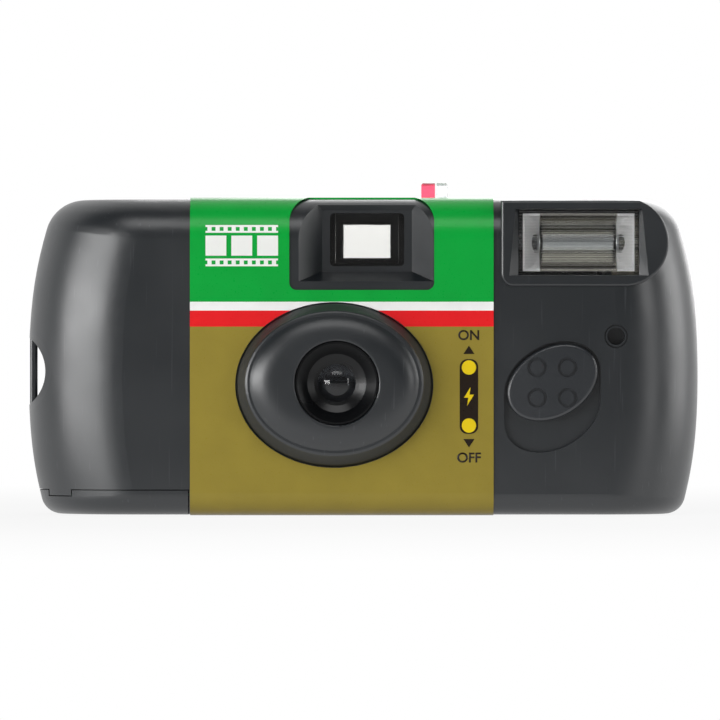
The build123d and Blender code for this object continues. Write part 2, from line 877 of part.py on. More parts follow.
# Label: a thin printed band all the way round, open at the lens, finder, counter and pipe
with BuildPart() as label:
    add(label_band)
    with BuildSketch(facing(front_y + overrun)):
        with Locations((boss_x, boss_z)):
            Ellipse(boss_base_half_width + fit, boss_base_half_height + fit)
    extrude(amount=2 * overrun, mode=Mode.SUBTRACT)
    with BuildSketch(facing(front_y + top_edge_radius)):
        with BuildLine():
            half_cutout = finder_cutout_width / 2
            FilletPolyline(
                (finder_cutout_x - half_cutout, finder_cutout_bottom),
                (finder_cutout_x + half_cutout, finder_cutout_bottom),
                (finder_cutout_x + half_cutout, body_height + label_thickness + fit),
                (finder_cutout_x - half_cutout, body_height + label_thickness + fit),
                radius=[
                    finder_cutout_bottom_radius,
                    finder_cutout_bottom_radius,
                    finder_cutout_top_radius,
                    finder_cutout_top_radius,
                ],
                close=True,
            )
        make_face()
    extrude(amount=top_edge_radius + overrun, mode=Mode.SUBTRACT)
    with BuildSketch(Plane.XY.offset(body_height - overrun)):
        with Locations((counter_window_x, counter_window_y)):
            Rectangle(counter_window_width + 2 * clearance, counter_window_depth + 2 * clearance)
        with Locations(((pipe_left + pipe_right) / 2, 0)):
            Rectangle(pipe_right - pipe_left + 4 * clearance, pipe_depth + 4 * clearance)
    extrude(amount=2 * overrun, mode=Mode.SUBTRACT)
    with BuildSketch(facing(back_y + overrun)):
        with Locations((finder_x, finder_z)):
            RectangleRounded(finder_sight_width + 4 * wall, finder_sight_height + 4 * wall, 2 * wall)
    extrude(amount=2 * overrun, mode=Mode.SUBTRACT)
write(label, "label")

# Lens ring: the stepped baffle behind the hole in the boss
ring_front_y = boss_tip_y + lens_ring_recess
ring_flange_y = boss_hollow_y + fit
ring_back_y = ring_flange_y + lens_ring_flange_thickness
ring_step_ys = [ring_front_y + depth for depth in lens_ring_step_depths]
ring_land = (lens_ring_step_depths[2] - lens_ring_step_depths[1]) / 2
lens_axis = Axis((lens_x, 0, lens_z), (0, 1, 0))
with BuildPart() as lens_ring:
    with BuildSketch(Plane.XY.offset(lens_z)):
        with BuildLine():
            Polyline(
                (lens_x + boss_hole_radius - seam, ring_front_y),
                (lens_x + lens_ring_step_radii[0], ring_front_y),
                (lens_x + lens_ring_step_radii[1], ring_step_ys[1]),
                (lens_x + lens_ring_step_radii[1], ring_step_ys[1] + ring_land),
                (lens_x + lens_ring_step_radii[2], ring_step_ys[2]),
                (lens_x + lens_ring_step_radii[2], ring_step_ys[2] + ring_land),
                (lens_x + lens_ring_step_radii[3], ring_step_ys[3]),
                (lens_x + lens_ring_step_radii[3], ring_step_ys[3] + clearance),
                (lens_x + taking_lens_radius + 2 * seam, ring_step_ys[3] + clearance),
                (lens_x + taking_lens_radius + 2 * seam, ring_back_y),
                (lens_x + boss_hole_radius + lens_ring_flange, ring_back_y),
                (lens_x + boss_hole_radius + lens_ring_flange, ring_flange_y),
                (lens_x + boss_hole_radius - seam, ring_flange_y),
                close=True,
            )
        make_face()
    revolve(axis=lens_axis)
write(lens_ring, "lens_ring")

# Taking lens: a moulded meniscus, bulging forward and hollow behind
lens_seat_y = lens_holder_y - lens_holder_thickness
lens_edge_y = lens_seat_y - taking_lens_edge
front_sag = taking_lens_front_radius - sqrt(taking_lens_front_radius**2 - taking_lens_cap_radius**2)
back_land = taking_lens_radius - 2 * clearance
back_sag = taking_lens_back_radius - sqrt(taking_lens_back_radius**2 - back_land**2)
with BuildPart() as taking_lens:
    with BuildSketch(Plane.XY.offset(lens_z)):
        with BuildLine():
            RadiusArc(
                (lens_x, lens_edge_y - front_sag),
                (lens_x + taking_lens_cap_radius, lens_edge_y),
                -taking_lens_front_radius,
            )
            Polyline(
                (lens_x + taking_lens_cap_radius, lens_edge_y),
                (lens_x + taking_lens_radius, lens_edge_y),
                (lens_x + taking_lens_radius, lens_seat_y),
                (lens_x + back_land, lens_seat_y),
            )
            RadiusArc(
                (lens_x + back_land, lens_seat_y),
                (lens_x, lens_seat_y - back_sag),
                taking_lens_back_radius,
            )
            Line((lens_x, lens_seat_y - back_sag), (lens_x, lens_edge_y - front_sag))
        make_face()
    revolve(axis=lens_axis)
write(taking_lens, "taking_lens")

# Lens holder: the plate with the fixed stop, a collar for the lens and two legs
seat_front_y = tunnel_front_y - seat_plate_thickness
collar_front_y = ring_step_ys[3] + clearance + fit
with BuildPart() as lens_holder:
    with BuildSketch(facing(lens_holder_y)):
        with Locations((lens_x, lens_z)):
            Circle(lens_holder_radius)
            Circle(stop_radius, mode=Mode.SUBTRACT)
    extrude(amount=lens_holder_thickness)
    with BuildSketch(facing(lens_seat_y)):
        with Locations((lens_x, lens_z)):
            Circle(taking_lens_radius + fit + frame_wall)
            Circle(taking_lens_radius + fit, mode=Mode.SUBTRACT)
    extrude(amount=lens_seat_y - collar_front_y)
    with BuildSketch(facing(seat_front_y)):
        for side in (-1, 1):
            angle = radians(holder_leg_angle)
            leg_x = lens_x + holder_leg_distance * cos(angle)
            leg_z = lens_z + side * holder_leg_distance * sin(angle)
            with Locations((leg_x, leg_z)):
                Circle(holder_leg_radius)
    extrude(amount=seat_front_y - lens_holder_y)
write(lens_holder, "lens_holder")

# Shutter blade: a thin sector on a pin, with a tab for the kick lever and an ear for its spring
ear_x = blade_pivot_x - 2 * blade_hub_radius
with BuildPart() as shutter_blade:
    with BuildSketch(facing(blade_y + blade_thickness)):
        with Locations((blade_pivot_x, blade_pivot_z)):
            Circle(blade_hub_radius)
        with Locations((lens_x, lens_z)):
            Circle(blade_disc_radius)
        bar_between((blade_pivot_x, blade_pivot_z), (lens_x, lens_z), 2 * blade_hub_radius)
        bar_between(
            (blade_pivot_x, blade_pivot_z), (ear_x, blade_pivot_z - spring_wire_radius), blade_hub_radius
        )
        tab_mid = (blade_pivot_z + blade_tab_top) / 2
        with Locations((blade_pivot_x - blade_tab_width / 2, tab_mid)):
            Rectangle(blade_tab_width, blade_tab_top - blade_pivot_z)
        with Locations((blade_pivot_x, blade_pivot_z)):
            Circle(blade_pin_radius + fit, mode=Mode.SUBTRACT)
    extrude(amount=blade_thickness)
write(shutter_blade, "shutter_blade")


def coil_spring(plane, radius, height, turns):
    """A round-wire coil about the plane's own axis"""
    with BuildPart() as spring:
        with BuildLine(plane) as path:
            Helix(pitch=height / turns, height=height, radius=radius)
        with BuildSketch(Plane(origin=path.line @ 0, z_dir=path.line % 0)):
            Circle(spring_wire_radius)
        sweep(path=path.line, is_frenet=True)
    return spring.part


# Shutter spring: pulls the blade's ear down and shuts it
shutter_spring_top = blade_pivot_z - blade_hub_radius / 2 - spring_wire_radius * 3
shutter_spring_y = seat_front_y - shutter_spring_radius - spring_wire_radius - fit
shutter_spring_plane = Plane((ear_x, shutter_spring_y, shutter_spring_top - shutter_spring_length))
with BuildPart() as shutter_spring:
    add(coil_spring(shutter_spring_plane, shutter_spring_radius, shutter_spring_length, shutter_spring_turns))
write(shutter_spring, "shutter_spring")

# Kick lever: flat lever on a post, with a finger that hangs down to the blade's tab
finger_x = blade_pivot_x - blade_tab_width - clearance - kick_finger_width / 2
finger_y = blade_y + blade_thickness / 2
kick_top = kick_z + kick_thickness
with BuildPart() as kick_lever:
    with BuildSketch(Plane.XY.offset(kick_z)):
        with Locations((kick_pivot_x, kick_pivot_y)):
            Circle(kick_hub_radius)
        bar_between((kick_pivot_x, kick_pivot_y), (finger_x, finger_y), kick_arm_width)
        bar_between(
            (kick_pivot_x, kick_pivot_y),
            (kick_pivot_x + kick_arm_width, kick_pivot_y + kick_rear_arm),
            kick_arm_width,
        )
        with Locations((kick_pivot_x, kick_pivot_y)):
            Circle(kick_post_radius + fit, mode=Mode.SUBTRACT)
    extrude(amount=kick_thickness)
    box_between(
        (finger_x - kick_finger_width / 2, finger_y - kick_finger_width / 2, kick_finger_bottom),
        (finger_x + kick_finger_width / 2, finger_y + kick_finger_width / 2, kick_top),
    )
write(kick_lever, "kick_lever")

# Kick lever spring: a torsion coil round the post, above the lever
kick_spring_plane = Plane((kick_pivot_x, kick_pivot_y, kick_top + clearance))
with BuildPart() as kick_lever_spring:
    kick_spring_turns = kick_spring_height / spring_wire_radius / 3
    add(coil_spring(kick_spring_plane, kick_spring_radius, kick_spring_height, kick_spring_turns))
write(kick_lever_spring, "kick_lever_spring")

# Release lever: tips on its pins when the button presses its long arm
lever_middle_y = lever_y + lever_width / 2
with BuildPart() as release_lever:
    box_between(
        (lever_left, lever_y, lever_z), (lever_right, lever_y + lever_width, lever_z + lever_thickness)
    )
    pin_z = lever_z + lever_thickness / 2
    with BuildSketch(facing(lever_y + lever_width)):
        with Locations((lever_pivot_x, pin_z)):
            Circle(lever_hub_radius)
    extrude(amount=lever_width)
    pin_reach = lever_width / 2 + ear_thickness
    with BuildSketch(facing(lever_middle_y + pin_reach)):
        with Locations((lever_pivot_x, pin_z)):
            Circle(lever_pin_radius)
    extrude(amount=2 * pin_reach)
write(release_lever, "release_lever")

# Shutter button: flush with the top, with a flange under the casing and a stem on the lever
button_flange_z = inner_top_z - fit - button_flange
with BuildPart() as shutter_button:
    with BuildSketch(Plane.XY.offset(button_flange_z)):
        with Locations((button_x, button_y)):
            Circle(button_flange_radius)
    extrude(amount=button_flange)
    with BuildSketch(Plane.XY.offset(button_flange_z)):
        with Locations((button_x, button_y)):
            Circle(button_radius)
    extrude(amount=body_height - button_flange_z)
    fillet(shutter_button.edges().group_by(Axis.Z)[-1], clearance)
    with BuildSketch(Plane.XY.offset(lever_z + lever_thickness + clearance)):
        with Locations((button_x, lever_middle_y)):
            Circle(button_stem_radius)
    extrude(amount=button_flange_z - lever_z - lever_thickness - clearance)
write(shutter_button, "shutter_button")

# Main frame: light tunnel, film gate, chambers, deck, finder walls and posts
roof_z = cartridge_base_z + cartridge_length + seam
roof_thickness = thumbwheel_z - seam - roof_z - fit
deck_top = deck_z + deck_thickness
with BuildPart() as main_frame:
    # Gate plate with rails, and the tunnel from the lens
    box_between(
        (gate_plate_left, gate_front_y, gate_plate_bottom), (gate_plate_right, gate_back_y, gate_plate_top)
    )
    rail_left = cartridge_x + cartridge_radius + clearance
    for rail_z in (film_low, film_high - rail_width):
        box_between((rail_left, gate_back_y, rail_z), (gate_plate_right, film_y, rail_z + rail_width))
    tunnels = []
    for thickness in (frame_wall, 0):
        with BuildPart(mode=Mode.PRIVATE) as tunnel:
            with BuildSketch(facing(tunnel_front_y)):
                with Locations((lens_x, lens_z)):
                    Rectangle(tunnel_front_width + 2 * thickness, tunnel_front_height + 2 * thickness)
            with BuildSketch(facing(gate_front_y)):
                with Locations((lens_x, lens_z)):
                    Rectangle(frame_width + 2 * thickness, frame_height + 2 * thickness)
            loft()
            with BuildSketch(facing(gate_front_y)):
                with Locations((lens_x, lens_z)):
                    Rectangle(frame_width + 2 * thickness, frame_height + 2 * thickness)
            extrude(amount=-gate_plate_thickness)
        tunnels.append(tunnel.part)
    add(tunnels[0])
    add(tunnels[1], mode=Mode.SUBTRACT)

    # Plate behind the shutter blade, with the blade's pin and the spring's post
    plate_half_width = lens_x - ear_x + blade_hub_radius
    plate_top = kick_finger_bottom - wall
    box_between(
        (lens_x - plate_half_width, seat_front_y, lens_z - lens_holder_radius - seat_plate_margin),
        (lens_x + lens_holder_radius + seat_plate_margin, tunnel_front_y, plate_top),
    )
    with BuildSketch(facing(tunnel_front_y + overrun)):
        with Locations((lens_x, lens_z)):
            Circle(seat_hole_radius)
    extrude(amount=seat_plate_thickness + 2 * overrun, mode=Mode.SUBTRACT)
    with BuildSketch(facing(seat_front_y)):
        with Locations((blade_pivot_x, blade_pivot_z)):
            Circle(blade_pin_radius)
        spring_post_z = shutter_spring_top - shutter_spring_length - spring_wire_radius - blade_pin_radius
        with Locations((ear_x, spring_post_z)):
            Circle(blade_pin_radius / 2)
    extrude(amount=seat_front_y - lens_seat_y)

    # Cartridge chamber, its roof under the thumbwheel, and the wall beside the gate
    with BuildSketch(Plane.XY.offset(cartridge_wall_base_z)):
        add(chamber_wall(cartridge_x, cartridge_y, cartridge_radius + clearance, *cartridge_wall_angles))
    extrude(amount=roof_z + roof_thickness - cartridge_wall_base_z)
    side_wall_x = cartridge_x + cartridge_radius + clearance
    box_between(
        (side_wall_x, cartridge_y - cartridge_radius / 2, gate_plate_bottom),
        (side_wall_x + frame_wall, gate_back_y, roof_z + roof_thickness),
    )
    with BuildSketch(Plane.XY.offset(roof_z)):
        with Locations((cartridge_x, cartridge_y)):
            Circle(cartridge_radius + clearance + frame_wall)
            Circle(thumbwheel_hub_radius + fit, mode=Mode.SUBTRACT)
    roof = extrude(amount=roof_thickness, mode=Mode.PRIVATE)
    add(roof & room)

    # Roll chamber with its floor, the wall beside the gate and the pegs for the board
    with BuildSketch(Plane.XY.offset(frame_floor_z)):
        add(chamber_wall(roll_x, roll_y, roll_chamber_radius, *roll_wall_angles))
    extrude(amount=gate_plate_top - frame_floor_z)
    with BuildSketch(Plane.XY.offset(frame_floor_z)):
        with Locations((roll_x, roll_y)):
            Circle(roll_chamber_radius + frame_wall / 2)
    floor = extrude(amount=frame_wall, mode=Mode.PRIVATE)
    add(floor & room)
    roll_wall_x = roll_x - roll_chamber_radius - frame_wall
    box_between(
        (roll_wall_x, roll_y, gate_plate_bottom), (roll_wall_x + frame_wall, gate_back_y, gate_plate_top)
    )
    board_back_y = board_y + board_thickness
    for peg_z in (board_bottom + capacitor_radius, board_top - capacitor_radius):
        box_between(
            (roll_x - frame_wall, board_back_y, peg_z - frame_wall),
            (roll_x + frame_wall, roll_y - roll_chamber_radius - frame_wall / 2, peg_z + frame_wall),
        )
    for clip_z in (cell_base_z + cell_length / 5, cell_base_z + cell_length * 3 / 4):
        with BuildSketch(Plane.XY.offset(clip_z)):
            add(chamber_wall(cell_x, cell_y, cell_radius + clearance, *cell_clip_angles))
        extrude(amount=2 * frame_wall)

    # Deck with the finder walls and the posts of the levers and the counter
    box_between(
        (deck_left, deck_front_y, deck_z),
        (finder_x + finder_tunnel_width / 2 + frame_wall, eyepiece_block_y - clearance, deck_top),
    )
    for side in (-1, 1):
        wall_x = finder_x + side * (finder_tunnel_width + frame_wall) / 2
        finder_wall = box_between(
            (wall_x - frame_wall / 2, deck_front_y, deck_z),
            (wall_x + frame_wall / 2, eyepiece_block_y - clearance, inner_top_z - clearance),
            mode=Mode.PRIVATE,
        )
        add(finder_wall & room)
    with BuildSketch(Plane.XY.offset(deck_top)):
        with Locations((kick_pivot_x, kick_pivot_y)):
            Circle(kick_post_radius)
    extrude(amount=kick_top + clearance + kick_spring_height - deck_top)
    with BuildSketch(Plane.XY.offset(deck_top)):
        with Locations((counter_x, counter_y)):
            Circle(counter_post_radius)
    extrude(amount=counter_z - fit - deck_top)
    with BuildSketch(Plane.XY.offset(deck_top)):
        with Locations((counter_x, counter_y)):
            Circle(counter_post_radius / 2)
    extrude(amount=counter_z + counter_thickness - deck_top)
    for ear_side in (-1, 1):
        ear_y = lever_middle_y + ear_side * (lever_width / 2 + fit + ear_thickness / 2)
        box_between(
            (lever_pivot_x - ear_width / 2, ear_y - ear_thickness / 2, deck_z),
            (lever_pivot_x + ear_width / 2, ear_y + ear_thickness / 2, pin_z + lever_hub_radius),
        )
    with BuildSketch(facing(lever_middle_y + lever_width)):
        with Locations((lever_pivot_x, pin_z)):
            Circle(lever_pin_radius + fit)
    extrude(amount=2 * lever_width, mode=Mode.SUBTRACT)

    # Bearings and slot for the sprocket
    box_between(
        (sprocket_x - 3 * sprocket_shaft_radius, sprocket_y - 3 * sprocket_shaft_radius, shelf_z),
        (sprocket_x + 3 * sprocket_shaft_radius, gate_back_y, shelf_z + shelf_thickness),
    )
    with BuildSketch(Plane.XY.offset(shelf_z - overrun)):
        with Locations((sprocket_x, sprocket_y)):
            Circle(sprocket_shaft_radius + fit)
    extrude(amount=deck_top - shelf_z + 2 * overrun, mode=Mode.SUBTRACT)
    with BuildSketch(Plane.XY.offset(sprocket_z - clearance)):
        with Locations((sprocket_x, sprocket_y)):
            Circle(sprocket_tip_radius + clearance)
    extrude(amount=sprocket_thickness + 2 * clearance, mode=Mode.SUBTRACT)
write(main_frame, "main_frame")

# Thumbwheel: toothed disc over the cartridge, with a hub and a blade that turns the spool
with BuildPart() as thumbwheel:
    with BuildSketch(Plane.XY.offset(thumbwheel_z)):
        with Locations((cartridge_x, cartridge_y)):
            Circle(thumbwheel_radius)
            with PolarLocations(thumbwheel_radius, thumbwheel_teeth):
                Rectangle(2 * thumbwheel_tooth_depth, thumbwheel_tooth_width, mode=Mode.SUBTRACT)
    extrude(amount=thumbwheel_thickness)
    with BuildSketch(Plane.XY.offset(thumbwheel_z)):
        with Locations((cartridge_x, cartridge_y)):
            Circle(thumbwheel_hub_radius)
    extrude(amount=roof_z - thumbwheel_z)
    with BuildSketch(Plane.XY.offset(roof_z)):
        with Locations((cartridge_x, cartridge_y)):
            Rectangle(drive_blade_length, drive_blade_width)
    extrude(amount=-drive_blade_drop)
write(thumbwheel, "thumbwheel")

# Cartridge spool: core with flanges, and a slotted neck that the thumbwheel's blade enters
cartridge_top = cartridge_base_z + cartridge_length
spool_length = cartridge_length - cartridge_sheet - 2 * fit
with BuildPart() as cartridge_spool:
    for level, radius, height in (
        (cartridge_base_z + cartridge_sheet + fit, spool_neck_radius, spool_length),
        (film_low - spool_flange, spool_core_radius, film_width + 2 * spool_flange),
        (film_low - spool_flange, spool_flange_radius, spool_flange),
        (film_high, spool_flange_radius, spool_flange),
    ):
        with BuildSketch(Plane.XY.offset(level)):
            with Locations((cartridge_x, cartridge_y)):
                Circle(radius)
        extrude(amount=height)
    with BuildSketch(Plane.XY.offset(cartridge_top + overrun)):
        with Locations((cartridge_x, cartridge_y)):
            Rectangle(drive_blade_length + 2 * fit, drive_blade_width + 2 * fit)
    extrude(amount=-(overrun + drive_blade_drop + fit), mode=Mode.SUBTRACT)
write(cartridge_spool, "cartridge_spool")

# Cartridge shell: rolled sheet with the lip that the film leaves by
shell_radius = cartridge_radius - cartridge_sheet
with BuildPart() as cartridge_shell:
    with BuildSketch(Plane.XY.offset(cartridge_base_z + cartridge_sheet)):
        with Locations((cartridge_x, cartridge_y)):
            Circle(shell_radius)
            Circle(shell_radius - cartridge_sheet, mode=Mode.SUBTRACT)
    extrude(amount=cartridge_length - 2 * cartridge_sheet)
    lip_start = cartridge_x + shell_radius / 3
    for lip_y in (film_y - fit - cartridge_sheet, film_y + film_thickness + fit):
        box_between(
            (lip_start, lip_y, film_low - clearance),
            (lip_start + lip_length + clearance, lip_y + cartridge_sheet, film_high + clearance),
        )
    box_between(
        (cartridge_x, film_y - fit, film_low - fit),
        (lip_start + overrun, film_y + film_thickness + fit, film_high + fit),
        mode=Mode.SUBTRACT,
    )
    with BuildSketch(Plane.XY.offset(cartridge_base_z)):
        with Locations((cartridge_x, cartridge_y)):
            Circle(shell_radius - cartridge_sheet)
    extrude(amount=cartridge_length, mode=Mode.SUBTRACT)
write(cartridge_shell, "cartridge_shell")

# Cartridge end caps: shallow pressed cups over the ends of the shell
caps = {}
for cap_name, cap_base, cap_up in (
    ("cartridge_bottom_cap", cartridge_base_z, 1),
    ("cartridge_top_cap", cartridge_top, -1),
):
    with BuildPart() as cap:
        with BuildSketch(Plane.XY.offset(cap_base)):
            with Locations((cartridge_x, cartridge_y)):
                Circle(cartridge_radius)
                Circle(spool_neck_radius + fit, mode=Mode.SUBTRACT)
        extrude(amount=cap_up * cartridge_sheet)
        with BuildSketch(Plane.XY.offset(cap_base)):
            with Locations((cartridge_x, cartridge_y)):
                Circle(cartridge_radius)
                Circle(shell_radius, mode=Mode.SUBTRACT)
        extrude(amount=cap_up * cap_skirt)
    write(cap, cap_name)

# Film strip across the gate, with its perforations
strip_left = cartridge_x + overrun
strip_length = roll_x - strip_left
perforation_count = int(strip_length / perforation_pitch)
with BuildPart() as film_strip:
    with BuildSketch(facing(film_y + film_thickness)):
        with Locations(((strip_left + roll_x) / 2, lens_z)):
            Rectangle(strip_length, film_width)
            perforation_rows = film_width - 2 * perforation_inset - perforation_height
            with GridLocations(perforation_pitch, perforation_rows, perforation_count, 2):
                Rectangle(perforation_width, perforation_height, mode=Mode.SUBTRACT)
    extrude(amount=film_thickness)
write(film_strip, "film_strip")

# Supply roll: the unexposed film on its spool
with BuildPart() as film_roll:
    with BuildSketch(Plane.XY.offset(film_low)):
        with Locations((roll_x, roll_y)):
            Circle(roll_radius)
            Circle(roll_core_radius, mode=Mode.SUBTRACT)
    extrude(amount=film_width)
write(film_roll, "film_roll")

supply_spool_low = film_low - supply_spool_flange
with BuildPart() as supply_spool:
    with BuildSketch(Plane.XY.offset(supply_spool_low)):
        with Locations((roll_x, roll_y)):
            Circle(roll_core_radius)
            Circle(roll_core_radius - wall, mode=Mode.SUBTRACT)
    extrude(amount=film_width + supply_spool_flange)
    with BuildSketch(Plane.XY.offset(supply_spool_low)):
        with Locations((roll_x, roll_y)):
            Circle(supply_spool_flange_radius)
            Circle(roll_core_radius - wall, mode=Mode.SUBTRACT)
    extrude(amount=supply_spool_flange)
write(supply_spool, "supply_spool")

# Sprocket: toothed wheel in the film's perforations, its shaft and the cam on the deck
with BuildPart() as sprocket_wheel:
    with BuildSketch(Plane.XY.offset(sprocket_z)):
        with Locations((sprocket_x, sprocket_y)):
            Circle(sprocket_root_radius)
            with PolarLocations(sprocket_root_radius, sprocket_teeth):
                Rectangle(2 * (sprocket_tip_radius - sprocket_root_radius), sprocket_tooth_width)
            Circle(sprocket_tip_radius, mode=Mode.INTERSECT)
    extrude(amount=sprocket_thickness)
    for level, radius, height in (
        (sprocket_shaft_bottom, sprocket_shaft_radius, sprocket_shaft_top - sprocket_shaft_bottom),
        (kick_z, sprocket_cam_radius, kick_thickness),
    ):
        with BuildSketch(Plane.XY.offset(level)):
            with Locations((sprocket_x, sprocket_y)):
                Circle(radius)
        extrude(amount=height)
    with BuildSketch(Plane.XY.offset(kick_z)):
        with Locations((sprocket_x, sprocket_y + sprocket_cam_radius)):
            Rectangle(sprocket_shaft_radius, sprocket_shaft_radius)
    extrude(amount=kick_thickness, mode=Mode.SUBTRACT)
write(sprocket_wheel, "sprocket_wheel")

# Counter wheel: a toothed dial on the counter post
with BuildPart() as counter_wheel:
    with BuildSketch(Plane.XY.offset(counter_z)):
        with Locations((counter_x, counter_y)):
            Circle(counter_radius)
            with PolarLocations(counter_radius, counter_teeth):
                Rectangle(counter_tooth, counter_tooth, mode=Mode.SUBTRACT)
            Circle(counter_post_radius / 2 + fit, mode=Mode.SUBTRACT)
    extrude(amount=counter_thickness)
write(counter_wheel, "counter_wheel")

# Counter window: a clear block in the top, held by its flange
with BuildPart() as counter_window:
    with BuildSketch(Plane.XY.offset(inner_top_z - counter_window_flange)):
        with Locations((counter_window_x, counter_window_y)):
            Rectangle(
                counter_window_width + 2 * counter_window_flange,
                counter_window_depth + 2 * counter_window_flange,
            )
    extrude(amount=counter_window_flange)
    with BuildSketch(Plane.XY.offset(inner_top_z)):
        with Locations((counter_window_x, counter_window_y)):
            Rectangle(counter_window_width - 2 * fit, counter_window_depth - 2 * fit)
    extrude(amount=wall)
write(counter_window, "counter_window")

# Viewfinder lenses: a front lens in the hood's frame and an eyepiece in the back
with BuildPart() as viewfinder_front_lens:
    with BuildSketch(facing(finder_lens_y + finder_lens_thickness)):
        with Locations((finder_x, finder_z)):
            Rectangle(finder_lens_width, finder_lens_height)
    extrude(amount=finder_lens_thickness)
write(viewfinder_front_lens, "viewfinder_front_lens")

with BuildPart() as viewfinder_eyepiece:
    with BuildSketch(facing(eyepiece_seat_y)):
        with Locations((finder_x, finder_z)):
            Rectangle(finder_sight_width + wall, finder_sight_height + wall)
    extrude(amount=eyepiece_flange)
    with BuildSketch(facing(eyepiece_seat_y)):
        with Locations((finder_x, finder_z)):
            Rectangle(finder_sight_width - 2 * fit, finder_sight_height - 2 * fit)
    extrude(amount=-eyepiece_thickness)
write(viewfinder_eyepiece, "viewfinder_eyepiece")

# Flash window: a clear plate with ribs across its middle
rib_count = int((window_height - 2 * window_rib_pitch) / window_rib_pitch)
with BuildPart() as flash_window:
    with BuildSketch(facing(window_y + window_thickness)):
        with Locations((window_x, window_z)):
            Rectangle(window_width - 2 * fit, window_height - 2 * fit)
    extrude(amount=window_thickness)
    with BuildSketch(facing(window_y + window_thickness)):
        with Locations((window_x, window_z)):
            with GridLocations(window_width, window_rib_pitch, 1, rib_count):
                Rectangle(reflector_back_width, window_rib_pitch / 2)
    extrude(amount=window_rib_depth, mode=Mode.SUBTRACT)
write(flash_window, "flash_window")

# Flash reflector: a bright trough with end walls that flare towards the window
reflector_mouth_y = window_y + window_thickness + fit
reflector_half_height = window_height / 2 - reflector_margin
reflector_width = window_width - 2 * reflector_margin
reflector_back = reflector_mouth_y + reflector_depth
with BuildPart() as flash_reflector:
    for inset, mouth_grow, mode in ((0, 0, Mode.ADD), (reflector_sheet, overrun, Mode.SUBTRACT)):
        with BuildPart(mode=Mode.PRIVATE) as trough:
            with BuildSketch(Plane.YZ.offset(window_x - reflector_width)):
                with Locations((reflector_mouth_y, window_z)):
                    Ellipse(reflector_depth - inset, reflector_half_height - inset)
            extrude(amount=2 * reflector_width)
            with BuildSketch(Plane.XY.offset(window_z - reflector_half_height - overrun)):
                with BuildLine():
                    half_mouth = reflector_width / 2 - inset
                    half_back = reflector_back_width / 2 - inset
                    Polyline(
                        (window_x - half_mouth, reflector_mouth_y - mouth_grow - seam),
                        (window_x - half_mouth, reflector_mouth_y),
                        (window_x - half_back, reflector_back),
                        (window_x + half_back, reflector_back),
                        (window_x + half_mouth, reflector_mouth_y),
                        (window_x + half_mouth, reflector_mouth_y - mouth_grow - seam),
                        close=True,
                    )
                make_face()
            extrude(amount=2 * (reflector_half_height + overrun), mode=Mode.INTERSECT)
        add(trough.part, mode=mode)
    split(bisect_by=Plane.XZ.offset(-reflector_mouth_y), keep=Keep.BOTTOM)
    tube_y = reflector_back - reflector_sheet - tube_y_gap - tube_radius
    with BuildSketch(Plane.YZ.offset(window_x - reflector_width)):
        with Locations((tube_y, window_z)):
            Circle(tube_radius + fit)
    extrude(amount=2 * reflector_width, mode=Mode.SUBTRACT)
write(flash_reflector, "flash_reflector")

# Flash tube: glass tube through the reflector with a pin at each end
tube_half = reflector_width / 2 + tube_overhang
with BuildPart() as flash_tube:
    with BuildSketch(Plane.YZ.offset(window_x - tube_half)):
        with Locations((tube_y, window_z)):
            Circle(tube_radius)
    extrude(amount=2 * tube_half)
    with BuildSketch(Plane.YZ.offset(window_x - tube_half - tube_overhang)):
        with Locations((tube_y, window_z)):
            Circle(tube_electrode_radius)
    extrude(amount=2 * (tube_half + tube_overhang))
write(flash_tube, "flash_tube")

# Circuit board with its parts
with BuildPart() as circuit_board:
    box_between((board_left, board_y, board_bottom), (board_right, board_back_y, board_top))
    fillet(circuit_board.edges().filter_by(Axis.Y), board_thickness)
write(circuit_board, "circuit_board")

with BuildPart() as main_capacitor:
    with BuildSketch(Plane.XY.offset(capacitor_base_z)):
        with Locations((capacitor_x, capacitor_y)):
            Circle(capacitor_radius)
    extrude(amount=capacitor_length)
    fillet(main_capacitor.edges().filter_by(GeomType.CIRCLE), capacitor_crimp)
write(main_capacitor, "main_capacitor")

with BuildPart() as transformer:
    for level, width, height in (
        (transformer_z, transformer_width, transformer_flange),
        (transformer_z, transformer_width - transformer_flange, transformer_height),
        (transformer_z + transformer_height - transformer_flange, transformer_width, transformer_flange),
    ):
        with BuildSketch(Plane.XY.offset(level)):
            with Locations((transformer_x, board_back_y + transformer_depth / 2)):
                Rectangle(width, transformer_depth)
        extrude(amount=height)
write(transformer, "transformer")

with BuildPart() as trigger_coil:
    with BuildSketch(Plane.YZ.offset(coil_x - coil_length / 2)):
        with Locations((board_back_y + coil_radius, coil_z)):
            Circle(coil_radius)
    extrude(amount=coil_length)
write(trigger_coil, "trigger_coil")

resistor_low = transformer_z + transformer_height + resistor_pitch / 2
with BuildPart() as resistors:
    for number in range(resistor_count):
        with BuildSketch(Plane.YZ.offset(transformer_x - resistor_length / 2)):
            with Locations((board_back_y + resistor_radius, resistor_low + number * resistor_pitch)):
                Circle(resistor_radius)
        extrude(amount=resistor_length)
write(resistors, "resistors")

with BuildPart() as pilot_lamp:
    with BuildSketch(Plane.XY.offset(board_top - 2 * lamp_length)):
        with Locations((board_left + lamp_length, board_y - lamp_radius)):
            Circle(lamp_radius)
    extrude(amount=lamp_length)
    fillet(pilot_lamp.edges().group_by(Axis.Z)[-1], lamp_radius / 2)
write(pilot_lamp, "pilot_lamp")

